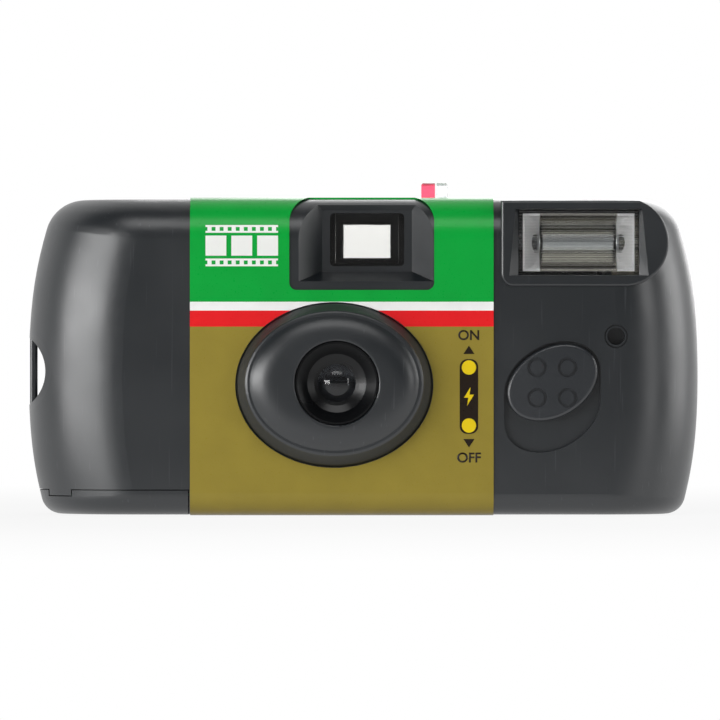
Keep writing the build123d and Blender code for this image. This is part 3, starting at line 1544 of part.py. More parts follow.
# Cell and its two contacts
cell_top = cell_base_z + cell_length
with BuildPart() as battery_cell:
    with BuildSketch(Plane.XY.offset(cell_base_z)):
        with Locations((cell_x, cell_y)):
            Circle(cell_radius)
    extrude(amount=cell_length)
    fillet(battery_cell.edges().filter_by(GeomType.CIRCLE), capacitor_crimp)
    with BuildSketch(Plane.XY.offset(cell_top)):
        with Locations((cell_x, cell_y)):
            Circle(cell_nub_radius)
    extrude(amount=cell_nub)
write(battery_cell, "battery_cell")

contact_half = contact_width / 2
with BuildPart() as battery_negative_contact:
    box_between(
        (cell_x - contact_half, board_back_y, cell_base_z - contact_sheet),
        (cell_x + contact_half, cell_y + contact_half, cell_base_z),
    )
    box_between(
        (cell_x - contact_half, board_back_y, cell_base_z - contact_sheet),
        (cell_x + contact_half, board_back_y + contact_sheet, board_bottom + overrun),
    )
write(battery_negative_contact, "battery_negative_contact")

nub_top = cell_top + cell_nub
riser_y = cell_y - cell_radius - overrun
with BuildPart() as battery_positive_contact:
    box_between(
        (cell_x - contact_half, riser_y, nub_top),
        (cell_x + contact_half, cell_y + contact_half, nub_top + contact_sheet),
    )
    box_between(
        (cell_x - contact_half, riser_y, board_top - contact_half),
        (cell_x + contact_half, riser_y + contact_sheet, nub_top + contact_sheet),
    )
    box_between(
        (cell_x - contact_half, board_back_y, board_top - contact_half),
        (cell_x + contact_half, riser_y + contact_sheet, board_top - contact_half + contact_sheet),
    )
write(battery_positive_contact, "battery_positive_contact")

# Sync contacts: two thin strips from the board towards the shutter
sync_left = lens_x + lens_holder_radius + seat_plate_margin + overrun
with BuildPart() as sync_contacts:
    for number in (0, 1):
        strip_z = kick_finger_bottom - sync_drop + number * (contact_half + sync_gap) / 2
        box_between(
            (sync_left, board_y - sync_thickness, strip_z),
            (board_left + overrun, board_y, strip_z + kick_finger_width),
        )
write(sync_contacts, "sync_contacts")

# Flash switch: knob in its recess, slider behind the cover, contact leaf and light pipe
knob_base_y = recess_floor_y - clearance
knob_face_y = knob_top_y
with BuildPart() as flash_switch_knob:
    with BuildSketch(facing(knob_base_y)):
        add(knob_sweep(0, 0))
    extrude(amount=knob_base_y - knob_face_y)
    fillet(flash_switch_knob.edges().group_by(Axis.Y)[0], knob_edge_round)
    with BuildSketch(facing(knob_face_y + knob_ring_depth)):
        with Locations((switch_x, switch_z)):
            with GridLocations(knob_bump_spacing, knob_bump_spacing, 2, 2):
                Circle(knob_ring_radius)
                Circle(knob_bump_radius, mode=Mode.SUBTRACT)
    extrude(amount=knob_ring_depth + overrun, mode=Mode.SUBTRACT)
    box_between(
        (switch_x - stem_width / 2, knob_base_y, switch_z - stem_height / 2),
        (switch_x + stem_width / 2, slider_y, switch_z + stem_height / 2),
    )
write(flash_switch_knob, "flash_switch_knob")

slider_back_y = slider_y + slider_thickness
riser_left = slider_riser_x - slider_riser_width / 2
riser_right = slider_riser_x + slider_riser_width / 2
arm_top = slider_arm_z + slider_arm_thickness
with BuildPart() as switch_slider:
    box_between(
        (riser_left, slider_y, switch_z - slider_bar_height / 2),
        (switch_x + stem_width, slider_back_y, switch_z + slider_bar_height / 2),
    )
    box_between(
        (riser_left, slider_y, switch_z - slider_bar_height / 2), (riser_right, slider_back_y, arm_top)
    )
    box_between((riser_left, slider_y, slider_arm_z), (riser_right, pipe_depth / 2, arm_top))
    box_between((pipe_left, -pipe_depth / 2, slider_arm_z), (riser_right, pipe_depth / 2, arm_top))
write(switch_slider, "switch_slider")

leaf_x = (board_left + switch_x) / 2
leaf_gap = board_y - slider_back_y
with BuildPart() as switch_contact:
    box_between(
        (leaf_x - stem_width, slider_back_y, switch_z - stem_width / 2),
        (leaf_x + stem_width, slider_back_y + contact_sheet, switch_z + stem_width / 2),
    )
    box_between(
        (leaf_x - contact_sheet, slider_back_y, switch_z - stem_width / 2),
        (leaf_x + contact_sheet, slider_back_y + leaf_gap - clearance, switch_z + stem_width / 2),
    )
write(switch_contact, "switch_contact")

with BuildPart() as pilot_light_pipe:
    box_between((pipe_left, -pipe_depth / 2, arm_top), (pipe_right, pipe_depth / 2, pipe_top))
    fillet(pilot_light_pipe.edges().group_by(Axis.Z)[-1], pipe_top_round)
    box_between(
        (pipe_split_x - pipe_split_gap / 2, -pipe_depth, pipe_split_bottom),
        (pipe_split_x + pipe_split_gap / 2, pipe_depth, pipe_top + overrun),
        mode=Mode.SUBTRACT,
    )
write(pilot_light_pipe, "pilot_light_pipe")
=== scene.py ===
"""Looks of a single-use 35 mm film camera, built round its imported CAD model.

Metres, +Z up, front towards -Y. The CAD pieces keep their shapes and get their finishes here. The
print on the label, the counter's figures, the coil's turns, the solder, the bands of the flash tube
and the polished lens are made here as meshes.
"""

import logging
import math
from dataclasses import dataclass, field
from enum import Enum
from typing import Iterable, Sequence

import bmesh
import bpy
from mathutils import Matrix, Vector
from mathutils.bvhtree import BVHTree


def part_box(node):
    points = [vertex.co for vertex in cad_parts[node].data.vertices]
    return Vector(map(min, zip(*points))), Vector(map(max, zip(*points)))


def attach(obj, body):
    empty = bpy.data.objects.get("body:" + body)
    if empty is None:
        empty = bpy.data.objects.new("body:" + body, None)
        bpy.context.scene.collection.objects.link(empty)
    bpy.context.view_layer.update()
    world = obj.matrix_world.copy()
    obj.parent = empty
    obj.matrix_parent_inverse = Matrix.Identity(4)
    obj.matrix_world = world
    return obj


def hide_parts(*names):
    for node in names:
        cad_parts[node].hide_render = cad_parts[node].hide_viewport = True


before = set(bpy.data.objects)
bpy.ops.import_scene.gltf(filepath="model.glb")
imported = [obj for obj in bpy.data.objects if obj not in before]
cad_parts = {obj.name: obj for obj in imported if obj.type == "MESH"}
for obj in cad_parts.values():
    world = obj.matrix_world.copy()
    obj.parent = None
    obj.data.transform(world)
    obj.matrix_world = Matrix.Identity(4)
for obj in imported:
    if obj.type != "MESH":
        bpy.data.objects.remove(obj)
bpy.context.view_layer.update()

LOG = logging.getLogger("film_camera")
MM = 0.001
CAMERA_BODY = "camera_body"

Tree = bpy.types.NodeTree
Node = bpy.types.Node
Socket = bpy.types.NodeSocket
Shape = bmesh.types.BMesh

PRINT_SLOT = "printed_label"

# Greys between which most of a noise texture lies
NOISE_SPAN = (0.3, 0.7)
# Refractive indices of the plastics and the tube's glass
STYRENE_IOR = 1.53
ACRYLIC_IOR = 1.49
GLASS_IOR = 1.52
# A wave texture at scale 1 repeats every tau / 20 of its coordinates
WAVE_SCALE = math.tau / 20


def linear(hex_colour: str, alpha: float = 1.0) -> tuple[float, float, float, float]:
    """Turns an sRGB hex colour into a linear one.

    Args:
        hex_colour: six hex digits, with or without a leading hash.
        alpha: the fourth value of the result.

    Returns:
        Linear red, green, blue and alpha.
    """
    digits = hex_colour.lstrip("#")
    parts = [int(digits[i : i + 2], 16) / 255 for i in (0, 2, 4)]
    low = [p / 12.92 if p <= 0.04045 else ((p + 0.055) / 1.055) ** 2.4 for p in parts]
    return (low[0], low[1], low[2], alpha)


def add_node(tree: Tree, kind: str, settings: dict | None = None, links: dict | None = None) -> Node:
    """Adds one node to a tree, sets its values and links its inputs.

    Args:
        tree: the node tree.
        kind: Blender's name of the node type.
        settings: node attributes by name, and input values by socket name or number.
        links: output sockets to link, by the name or number of the input they go to.

    Returns:
        The new node.
    """
    node = tree.nodes.new(kind)
    for key, value in (settings or {}).items():
        if isinstance(key, int) or key in node.inputs:
            node.inputs[key].default_value = value
        else:
            setattr(node, key, value)
    for key, socket in (links or {}).items():
        tree.links.new(socket, node.inputs[key])
    return node


# Rim of the lens boss, its middle, and the front of the band round it
FLANK_CENTRE_MM = (-4.6, 21.2)
FLANK_RIM_MM = (14.2, 11.5)
FLANK_FRONT_MM = -12.6
FLANK_ROUGHNESS = 0.62


class Pattern(Enum):
    """Which print a label finish carries."""

    STRIPES = "stripes"
    PLAIN = "plain"


@dataclass(frozen=True)
class Finish:
    """A surface finish, named for its material and how it was made."""

    name: str
    colour: str = "808080"

    def build(self) -> bpy.types.Material:
        """Makes the Blender material.

        Returns:
            The material, with its Principled shader linked to the output.
        """
        material = bpy.data.materials.new(self.name)
        material.use_nodes = True
        tree = material.node_tree
        tree.nodes.clear()
        shader = add_node(tree, "ShaderNodeBsdfPrincipled", {"Base Color": linear(self.colour)})
        add_node(tree, "ShaderNodeOutputMaterial", None, {"Surface": shader.outputs[0]})
        self.dress(tree, shader, add_node(tree, "ShaderNodeTexCoord").outputs["Object"])
        material.diffuse_color = linear(self.colour)
        return material

    def dress(self, tree: Tree, shader: Node, place: Socket) -> None:
        """Adds the finish's own detail; each finish has its own version.

        Args:
            tree: the material's node tree.
            shader: its Principled node.
            place: the coordinates, in metres.
        """

    def noise(self, tree: Tree, place: Socket, size_mm: float, detail: float = 3.0) -> Socket:
        """Adds noise whose features are about a size in millimetres.

        Args:
            tree: the node tree.
            place: the coordinates.
            size_mm: size of a feature.
            detail: how many finer levels are added.

        Returns:
            The socket of its grey value.
        """
        return add_node(
            tree,
            "ShaderNodeTexNoise",
            {"Scale": 1 / (size_mm * MM), "Detail": detail, "Roughness": 0.55},
            {"Vector": place},
        ).outputs["Fac"]

    def span(
        self, tree: Tree, value: Socket, low: float, high: float, out: tuple[float, float]
    ) -> Socket:
        """Maps a grey value between two limits to two other values, clamped.

        Args:
            tree: the node tree.
            value: the socket to map.
            low: value that becomes the first of out.
            high: value that becomes the second.
            out: the two results.

        Returns:
            The mapped socket.
        """
        return add_node(
            tree,
            "ShaderNodeMapRange",
            {"From Min": low, "From Max": high, "To Min": out[0], "To Max": out[1]},
            {"Value": value},
        ).outputs[0]

    def bump(self, tree: Tree, shader: Node, height: Socket, depth_mm: float) -> None:
        """Links a height map to the shader's normal.

        Args:
            tree: the node tree.
            shader: the Principled node.
            height: the height, 0 to 1.
            depth_mm: how deep a height of 1 is.
        """
        node = add_node(
            tree, "ShaderNodeBump", {"Strength": 1.0, "Distance": depth_mm * MM}, {"Height": height}
        )
        tree.links.new(node.outputs[0], shader.inputs["Normal"])


@dataclass(frozen=True)
class MouldedPlastic(Finish):
    """Injection-moulded styrene or acetal: satin, with fine grain, hair scratches and dust."""

    roughness: float = 0.36
    grain_mm: float = 0.22
    grain_depth_mm: float = 0.004
    wear: str = "9a9ca2"
    wear_share: float = 0.09
    specular: float = 0.5
    matt_flank: bool = False
    patch_mm: float = 14.0
    scratch_mm: float = 0.35
    dust_spacing_mm: float = 1.6

    def dress(self, tree: Tree, shader: Node, place: Socket) -> None:
        """Grain in the normal, soft patches in the gloss, thin scratches and specks of dust."""
        shader.inputs["IOR"].default_value = STYRENE_IOR
        shader.inputs["Specular IOR Level"].default_value = self.specular
        grain = self.noise(tree, place, self.grain_mm, 2.0)
        patches = self.noise(tree, place, self.patch_mm, 4.0)
        # Hair scratches are finer than a pixel on the real case, so they are drawn about 0.12 mm wide
        lines = []
        for angle, stretch in ((0.5, 38.0), (-0.9, 30.0), (1.35, 45.0)):
            turned = add_node(
                tree,
                "ShaderNodeMapping",
                {"Rotation": (0.3 * angle, angle, 0.2), "Scale": (1.0, 1.0, 1 / stretch)},
                {"Vector": place},
            ).outputs[0]
            scratch = self.noise(tree, turned, self.scratch_mm, 0.0)
            lines.append(self.span(tree, scratch, 0.80, 0.86, (0.0, 1.0)))
        scratches = lines[0]
        for extra in lines[1:]:
            scratches = add_node(
                tree, "ShaderNodeMath", {"operation": "MAXIMUM"}, {0: scratches, 1: extra}
            ).outputs[0]
        # Dust is drawn at 0.12 mm, a little coarser than it is, so that it shows
        cells = add_node(
            tree, "ShaderNodeTexVoronoi", {"Scale": 1 / (self.dust_spacing_mm * MM)}, {"Vector": place}
        ).outputs["Distance"]
        dust = self.span(tree, cells, 0.02, 0.045, (0.8, 0.0))
        marks = add_node(tree, "ShaderNodeMath", {"operation": "MAXIMUM"}, {0: scratches, 1: dust}).outputs[0]
        amount = add_node(
            tree, "ShaderNodeMath", {"operation": "MULTIPLY", 1: self.wear_share}, {0: marks}
        ).outputs[0]
        shade = add_node(
            tree,
            "ShaderNodeMix",
            {"data_type": "RGBA", 6: linear(self.colour), 7: linear(self.wear)},
            {0: amount},
        ).outputs[2]
        tree.links.new(shade, shader.inputs["Base Color"])
        gloss = self.span(tree, patches, *NOISE_SPAN, (self.roughness - 0.04, self.roughness + 0.05))
        if self.matt_flank:
            gloss = add_node(
                tree, "ShaderNodeMath", {"operation": "MAXIMUM"}, {0: gloss, 1: self.flank(tree, place)}
            ).outputs[0]
        tree.links.new(gloss, shader.inputs["Roughness"])
        self.bump(tree, shader, grain, self.grain_depth_mm)

    def flank(self, tree: Tree, place: Socket) -> Socket:
        """Gives the roughness of the lens boss's flank, which the mould leaves matt.

        Args:
            tree: the node tree.
            place: the coordinates.

        Returns:
            The socket: the flank's roughness outside the rim and in front of the band, 0 elsewhere.
        """
        across = add_node(
            tree,
            "ShaderNodeMapping",
            {
                "vector_type": "TEXTURE",
                "Location": (FLANK_CENTRE_MM[0] * MM, FLANK_FRONT_MM * MM, FLANK_CENTRE_MM[1] * MM),
                "Scale": (FLANK_RIM_MM[0] * MM, 1.0, FLANK_RIM_MM[1] * MM),
            },
            {"Vector": place},
        ).outputs[0]
        split = add_node(tree, "ShaderNodeSeparateXYZ", None, {0: across}).outputs
        level = add_node(tree, "ShaderNodeCombineXYZ", None, {"X": split["X"], "Z": split["Z"]}).outputs[0]
        reach = add_node(tree, "ShaderNodeVectorMath", {"operation": "LENGTH"}, {0: level}).outputs["Value"]
        outside = self.span(tree, reach, 0.99, 1.02, (0.0, FLANK_ROUGHNESS))
        ahead = self.span(tree, split["Y"], -0.2 * MM, 0.0, (1.0, 0.0))
        return add_node(
            tree, "ShaderNodeMath", {"operation": "MULTIPLY"}, {0: outside, 1: ahead}
        ).outputs[0]


@dataclass(frozen=True)
class PrintedFilm(Finish):
    """Printed polypropylene label: semi-gloss, faint orange peel, with stripes set by height."""

    pattern: Pattern = Pattern.PLAIN
    roughness: float = 0.3
    peel_mm: float = 1.4
    peel_depth_mm: float = 0.006

    def dress(self, tree: Tree, shader: Node, place: Socket) -> None:
        """Hard-edged stripes from the height, and a slightly uneven gloss."""
        shader.inputs["IOR"].default_value = ACRYLIC_IOR
        shader.inputs["Specular IOR Level"].default_value = 0.3
        shader.inputs["Coat Weight"].default_value = 0.05
        shader.inputs["Coat Roughness"].default_value = 0.15
        peel = self.noise(tree, place, self.peel_mm, 2.0)
        fine = self.noise(tree, place, 0.25, 2.0)
        gloss = self.span(tree, fine, *NOISE_SPAN, (self.roughness - 0.03, self.roughness + 0.05))
        tree.links.new(gloss, shader.inputs["Roughness"])
        self.bump(tree, shader, peel, self.peel_depth_mm)
        if self.pattern is not Pattern.STRIPES:
            return
        height = add_node(tree, "ShaderNodeSeparateXYZ", None, {0: place}).outputs["Z"]
        share = add_node(
            tree, "ShaderNodeMath", {"operation": "DIVIDE", 1: STRIPE_SPAN_MM * MM}, {0: height}
        ).outputs[0]
        ramp = add_node(tree, "ShaderNodeValToRGB", None, {0: share})
        ramp.color_ramp.interpolation = "CONSTANT"
        stops = ramp.color_ramp.elements
        stops[0].position = 0.0
        stops[0].color = linear(STRIPES[0][1])
        stops.remove(stops[1])
        for start_mm, colour in STRIPES[1:]:
            stops.new(start_mm / STRIPE_SPAN_MM).color = linear(colour)
        ink = self.noise(tree, place, 6.0, 4.0)
        tint = self.span(tree, ink, *NOISE_SPAN, (0.94, 1.04))
        shade = add_node(
            tree, "ShaderNodeHueSaturation", {"Saturation": 1.0}, {"Color": ramp.outputs[0], "Value": tint}
        ).outputs[0]
        tree.links.new(shade, shader.inputs["Base Color"])


@dataclass(frozen=True)
class ClearPlastic(Finish):
    """Moulded clear acrylic or drawn glass: see-through, polished, with a faint flow ripple."""

    roughness: float = 0.03
    ior: float = ACRYLIC_IOR
    tinted_below_x_mm: float | None = None
    tint: str = "ffffff"
    ripple_depth_mm: float = 0.004
    clear: float = 1.0

    def dress(self, tree: Tree, shader: Node, place: Socket) -> None:
        """See-through body with a faint ripple, and a second tint on one side where it has one."""
        shader.inputs["Transmission Weight"].default_value = self.clear
        shader.inputs["IOR"].default_value = self.ior
        shader.inputs["Roughness"].default_value = self.roughness
        if self.ripple_depth_mm:
            ripple = self.noise(tree, place, 2.5, 1.0)
            gloss = self.span(tree, ripple, *NOISE_SPAN, (self.roughness, self.roughness + 0.03))
            tree.links.new(gloss, shader.inputs["Roughness"])
            self.bump(tree, shader, ripple, self.ripple_depth_mm)
        if self.tinted_below_x_mm is None:
            return
        across = add_node(tree, "ShaderNodeSeparateXYZ", None, {0: place}).outputs["X"]
        side = self.span(
            tree, across, (self.tinted_below_x_mm - 0.1) * MM, (self.tinted_below_x_mm + 0.1) * MM, (0.0, 1.0)
        )
        shade = add_node(
            tree,
            "ShaderNodeMix",
            {"data_type": "RGBA", 6: linear(self.tint), 7: linear(self.colour)},
            {0: side},
        ).outputs[2]
        tree.links.new(shade, shader.inputs["Base Color"])


@dataclass(frozen=True)
class RibbedWindow(Finish):
    """Clear acrylic moulded with fine level ribs, which spread the light of the flash."""

    rib_mm: float = 0.5
    rib_depth_mm: float = 0.03

    def dress(self, tree: Tree, shader: Node, place: Socket) -> None:
        """See-through body with a wave of ribs up its height."""
        shader.inputs["Transmission Weight"].default_value = 1.0
        shader.inputs["IOR"].default_value = ACRYLIC_IOR
        shader.inputs["Roughness"].default_value = 0.0
        ribs = add_node(
            tree,
            "ShaderNodeTexWave",
            {"bands_direction": "Z", "Scale": WAVE_SCALE / (self.rib_mm * MM), "Distortion": 0.0},
            {"Vector": place},
        ).outputs["Fac"]
        self.bump(tree, shader, ribs, self.rib_depth_mm)


# Bottom to top of the flash trough: painted reflections, three lobes of warm grey between painted dark folds
# and painted bright lines
PAINTED_TROUGH_REFLECTIONS = (
    (0.0, "d8d5cb"),
    (0.12, "f2f0e8"),
    (0.27, "dcd9cf"),
    (0.30, "605e58"),
    (0.34, "e2dfd5"),
    (0.42, "ffffff"),
    (0.52, "e9e7df"),
    (0.64, "d4d1c7"),
    (0.66, "5e5c56"),
    (0.73, "97948c"),
    (0.77, "ffffff"),
    (0.82, "e6e3da"),
    (1.0, "dad7cd"),
)


@dataclass(frozen=True)
class FlashMirror(Finish):
    """Pressed bright aluminium: a trough behind the tube with painted reflections and painted rib lines,
    between satin white end walls.
    """

    middle_x_mm: float = 34.55
    trough_half_mm: float = 6.15
    low_z_mm: float = 39.6
    high_z_mm: float = 48.6
    end_colour: str = "ffffff"
    line_mm: float = 0.75
    # How dark the painted shade of each rib line is
    line_shade: float = 0.5

    def dress(self, tree: Tree, shader: Node, place: Socket) -> None:
        """Painted reflections in three lobes up the trough, painted shade along level rib lines, and plain
        satin ends.
        """
        split = add_node(tree, "ShaderNodeSeparateXYZ", None, {0: place}).outputs
        across = add_node(
            tree, "ShaderNodeMath", {"operation": "SUBTRACT", 1: self.middle_x_mm * MM}, {0: split["X"]}
        ).outputs[0]
        across = add_node(tree, "ShaderNodeMath", {"operation": "ABSOLUTE"}, {0: across}).outputs[0]
        half = self.trough_half_mm * MM
        ends = self.span(tree, across, half, half + 0.1 * MM, (0.0, 1.0))
        up = self.span(tree, split["Z"], self.low_z_mm * MM, self.high_z_mm * MM, (0.0, 1.0))
        # Painted reflections: the ramp puts bright lobes and dark folds into the mirror's colour
        ramp = add_node(tree, "ShaderNodeValToRGB", None, {0: up})
        stops = ramp.color_ramp.elements
        stops[0].position, stops[0].color = PAINTED_TROUGH_REFLECTIONS[0][0], linear(PAINTED_TROUGH_REFLECTIONS[0][1])
        stops[1].position, stops[1].color = PAINTED_TROUGH_REFLECTIONS[-1][0], linear(PAINTED_TROUGH_REFLECTIONS[-1][1])
        for position, colour in PAINTED_TROUGH_REFLECTIONS[1:-1]:
            stops.new(position).color = linear(colour)
        # Painted shade: each rib of the window darkens its own line of the trough's colour
        ribs = add_node(
            tree,
            "ShaderNodeTexWave",
            {"bands_direction": "Z", "Scale": WAVE_SCALE / (self.line_mm * MM), "Distortion": 0.0},
            {"Vector": place},
        ).outputs["Fac"]
        rib_shaded_reflections = add_node(
            tree,
            "ShaderNodeHueSaturation",
            None,
            {"Color": ramp.outputs[0], "Value": self.span(tree, ribs, 0.0, 0.5, (self.line_shade, 1.0))},
        ).outputs[0]
        shade = add_node(
            tree, "ShaderNodeMix", {"data_type": "RGBA", 7: linear(self.end_colour)}, {0: ends, 6: rib_shaded_reflections}
        ).outputs[2]
        tree.links.new(shade, shader.inputs["Base Color"])
        tree.links.new(self.span(tree, ends, 0.0, 1.0, (1.0, 0.0)), shader.inputs["Metallic"])
        tree.links.new(self.span(tree, ends, 0.0, 1.0, (0.22, 0.5)), shader.inputs["Roughness"])
        level = {"Scale": (0.02, 0.02, 1.0)}
        lines = add_node(tree, "ShaderNodeMapping", level, {"Vector": place}).outputs[0]
        self.bump(tree, shader, self.noise(tree, lines, 0.25, 2.0), 0.004)


@dataclass(frozen=True)
class SheetMetal(Finish):
    """Rolled or drawn metal: fine lines along one direction, with smudges in the gloss."""

    roughness: float = 0.25
    line_mm: float = 0.12
    along: tuple[float, float, float] = (0.02, 1.0, 1.0)
    metallic: float = 1.0

    def dress(self, tree: Tree, shader: Node, place: Socket) -> None:
        """Stretched noise for the rolling lines, broad noise for the smudges."""
        shader.inputs["Metallic"].default_value = self.metallic
        turned = add_node(tree, "ShaderNodeMapping", {"Scale": self.along}, {"Vector": place}).outputs[0]
        lines = self.noise(tree, turned, self.line_mm, 2.0)
        smudge = self.noise(tree, place, 5.0, 3.0)
        both = add_node(tree, "ShaderNodeMath", {"operation": "ADD"}, {0: lines, 1: smudge}).outputs[0]
        gloss = self.span(tree, both, 0.7, 1.3, (self.roughness - 0.06, self.roughness + 0.1))
        tree.links.new(gloss, shader.inputs["Roughness"])
        self.bump(tree, shader, lines, 0.002)


@dataclass(frozen=True)
class LacqueredSheet(Finish):
    """Printed or blackened tinplate: lacquer over metal, worn through a little in spots."""

    roughness: float = 0.3
    bare: str = "b8bcc0"
    specular: float = 0.5

    def dress(self, tree: Tree, shader: Node, place: Socket) -> None:
        """Small worn spots that show bare metal, in a gloss that varies."""
        shader.inputs["Specular IOR Level"].default_value = self.specular
        spots = self.noise(tree, place, 0.9, 4.0)
        worn = self.span(tree, spots, 0.72, 0.76, (0.0, 1.0))
        shade = add_node(
            tree,
            "ShaderNodeMix",
            {"data_type": "RGBA", 6: linear(self.colour), 7: linear(self.bare)},
            {0: worn},
        ).outputs[2]
        tree.links.new(shade, shader.inputs["Base Color"])
        tree.links.new(worn, shader.inputs["Metallic"])
        patches = self.noise(tree, place, 3.0)
        gloss = self.span(tree, patches, *NOISE_SPAN, (self.roughness, self.roughness + 0.1))
        tree.links.new(gloss, shader.inputs["Roughness"])
        self.bump(tree, shader, self.noise(tree, place, 0.3, 1.0), 0.002)


@dataclass(frozen=True)
class Laminate(Finish):
    """Etched phenolic board: brown resin paper with faint fibres and tinned tracks."""

    track: str = "b9b6ad"

    def dress(self, tree: Tree, shader: Node, place: Socket) -> None:
        """Fibres in the brown, and square-edged tracks on a grid of cells."""
        fibres = self.noise(tree, place, 0.4, 5.0)
        brown = self.span(tree, fibres, *NOISE_SPAN, (0.85, 1.15))
        base = add_node(
            tree, "ShaderNodeHueSaturation", {"Color": linear(self.colour)}, {"Value": brown}
        ).outputs[0]
        cells = add_node(
            tree,
            "ShaderNodeTexVoronoi",
            {"distance": "CHEBYCHEV", "feature": "F2", "Scale": 1 / (4.0 * MM), "Randomness": 0.8},
            {"Vector": place},
        ).outputs["Distance"]
        tracks = self.span(tree, cells, 0.52, 0.55, (0.0, 1.0))
        shade = add_node(
            tree, "ShaderNodeMix", {"data_type": "RGBA", 7: linear(self.track)}, {0: tracks, 6: base}
        ).outputs[2]
        tree.links.new(shade, shader.inputs["Base Color"])
        tree.links.new(tracks, shader.inputs["Metallic"])
        shader.inputs["Roughness"].default_value = 0.35
        self.bump(tree, shader, tracks, 0.03)


@dataclass(frozen=True)
class CoatedFilm(Finish):
    """Undeveloped colour film: brown, glossy base with a faint lengthwise flow."""

    roughness: float = 0.16

    def dress(self, tree: Tree, shader: Node, place: Socket) -> None:
        """Lengthwise streaks in the colour and a smooth coat."""
        lengthwise = {"Scale": (0.03, 1.0, 1.0)}
        turned = add_node(tree, "ShaderNodeMapping", lengthwise, {"Vector": place}).outputs[0]
        streaks = self.noise(tree, turned, 0.8, 2.0)
        value = self.span(tree, streaks, *NOISE_SPAN, (0.9, 1.1))
        shade = add_node(
            tree, "ShaderNodeHueSaturation", {"Color": linear(self.colour)}, {"Value": value}
        ).outputs[0]
        tree.links.new(shade, shader.inputs["Base Color"])
        shader.inputs["Roughness"].default_value = self.roughness
        shader.inputs["Coat Weight"].default_value = 0.5
        self.bump(tree, shader, streaks, 0.004)


STRIPE_SPAN_MM = 60.0
# The band's stripes from the bottom up: gold field, red, white and green field
STRIPES = ((0.0, "998836"), (30.2, "f01e23"), (32.6, "fcfdfb"), (34.0, "00a83c"))

CASE_BLACK = MouldedPlastic(
    "styrene_moulded_black", "0d1318", roughness=0.35, specular=0.8, wear_share=0.06, matt_flank=True
)
FRAME_BLACK = MouldedPlastic(
    "styrene_moulded_matt_black", "08090a", roughness=0.5, specular=0.2, wear_share=0.04
)
RING_BLACK = MouldedPlastic(
    "styrene_moulded_baffle_black", "08090b", roughness=0.27, specular=0.3, wear_share=0.0
)
BUTTON_GREY = MouldedPlastic("styrene_moulded_dark_grey", "2c2f33", roughness=0.32)
KNOB_BLACK = MouldedPlastic(
    "styrene_moulded_knob_black", "1a1e23", roughness=0.33, specular=0.8, grain_depth_mm=0.01
)
ACETAL_WHITE = MouldedPlastic("acetal_moulded_white", "e8e7e2", wear="c9c6bb", roughness=0.4)
LABEL_FILM = PrintedFilm("polypropylene_printed_band", "00a83c", pattern=Pattern.STRIPES)
INK_WHITE = PrintedFilm("ink_screened_white", "f7f8f4")
INK_BLACK = PrintedFilm("ink_screened_black", "1b1b1c")
INK_BROWN = PrintedFilm("ink_screened_dark_brown", "20150c")
INK_YELLOW = PrintedFilm("ink_screened_yellow", "f4d518")
CLEAR_ACRYLIC = ClearPlastic("acrylic_moulded_clear", "fdfdfb")
LENS_ACRYLIC = ClearPlastic("acrylic_moulded_lens", "f4f8ff", roughness=0.0, ripple_depth_mm=0.0)
WINDOW_ACRYLIC = RibbedWindow("acrylic_moulded_ribbed", "ffffff")
PIPE_ACRYLIC = ClearPlastic(
    "acrylic_moulded_pipe", "e6e8ea", roughness=0.2, tinted_below_x_mm=11.72, tint="ff5f7c", clear=0.7
)
TUBE_GLASS = ClearPlastic("glass_drawn_clear", "f4f8fa", ior=GLASS_IOR)
REFLECTOR = FlashMirror("aluminium_pressed_bright", "f2f0e8")
SPRING_WIRE = SheetMetal("steel_drawn_wire", "b5b7ba", roughness=0.22)
PLATED_STRIP = SheetMetal("brass_plated_strip", "cfc8b4", roughness=0.22)
BLACK_STEEL = LacqueredSheet("steel_blackened_sheet", "0a0a0b", roughness=0.45, bare="1b1c1e", specular=0.2)
CARTRIDGE_SHEET = LacqueredSheet("tinplate_printed_green", "2f8f62")
CARTRIDGE_CAP = LacqueredSheet("tinplate_blackened_pressed", "131415", roughness=0.25)
CELL_JACKET = LacqueredSheet("steel_lacquered_jacket", "6b6e73", roughness=0.22)
SLEEVE = MouldedPlastic("pvc_shrunk_sleeve", "1a1c22", roughness=0.2, grain_mm=1.2, wear_share=0.1)
BOBBIN = MouldedPlastic("polyester_taped_yellow", "c9a51c", roughness=0.3, wear="e2c85a")
COIL_FORM = MouldedPlastic("nylon_moulded_brown", "6e3a18", roughness=0.35, wear="93623c")
RESISTOR = MouldedPlastic("lacquer_dipped_tan", "c8a878", roughness=0.3, wear="e1cfae")
BOARD = Laminate("phenolic_etched_board", "7a5a30")
FILM = CoatedFilm("film_coated_brown", "5a3420")
COPPER_WIRE = SheetMetal("copper_enamelled_wire", "a5562a", roughness=0.25)
SOLDER = SheetMetal("solder_flowed_bright", "c9cbcd", roughness=0.2)

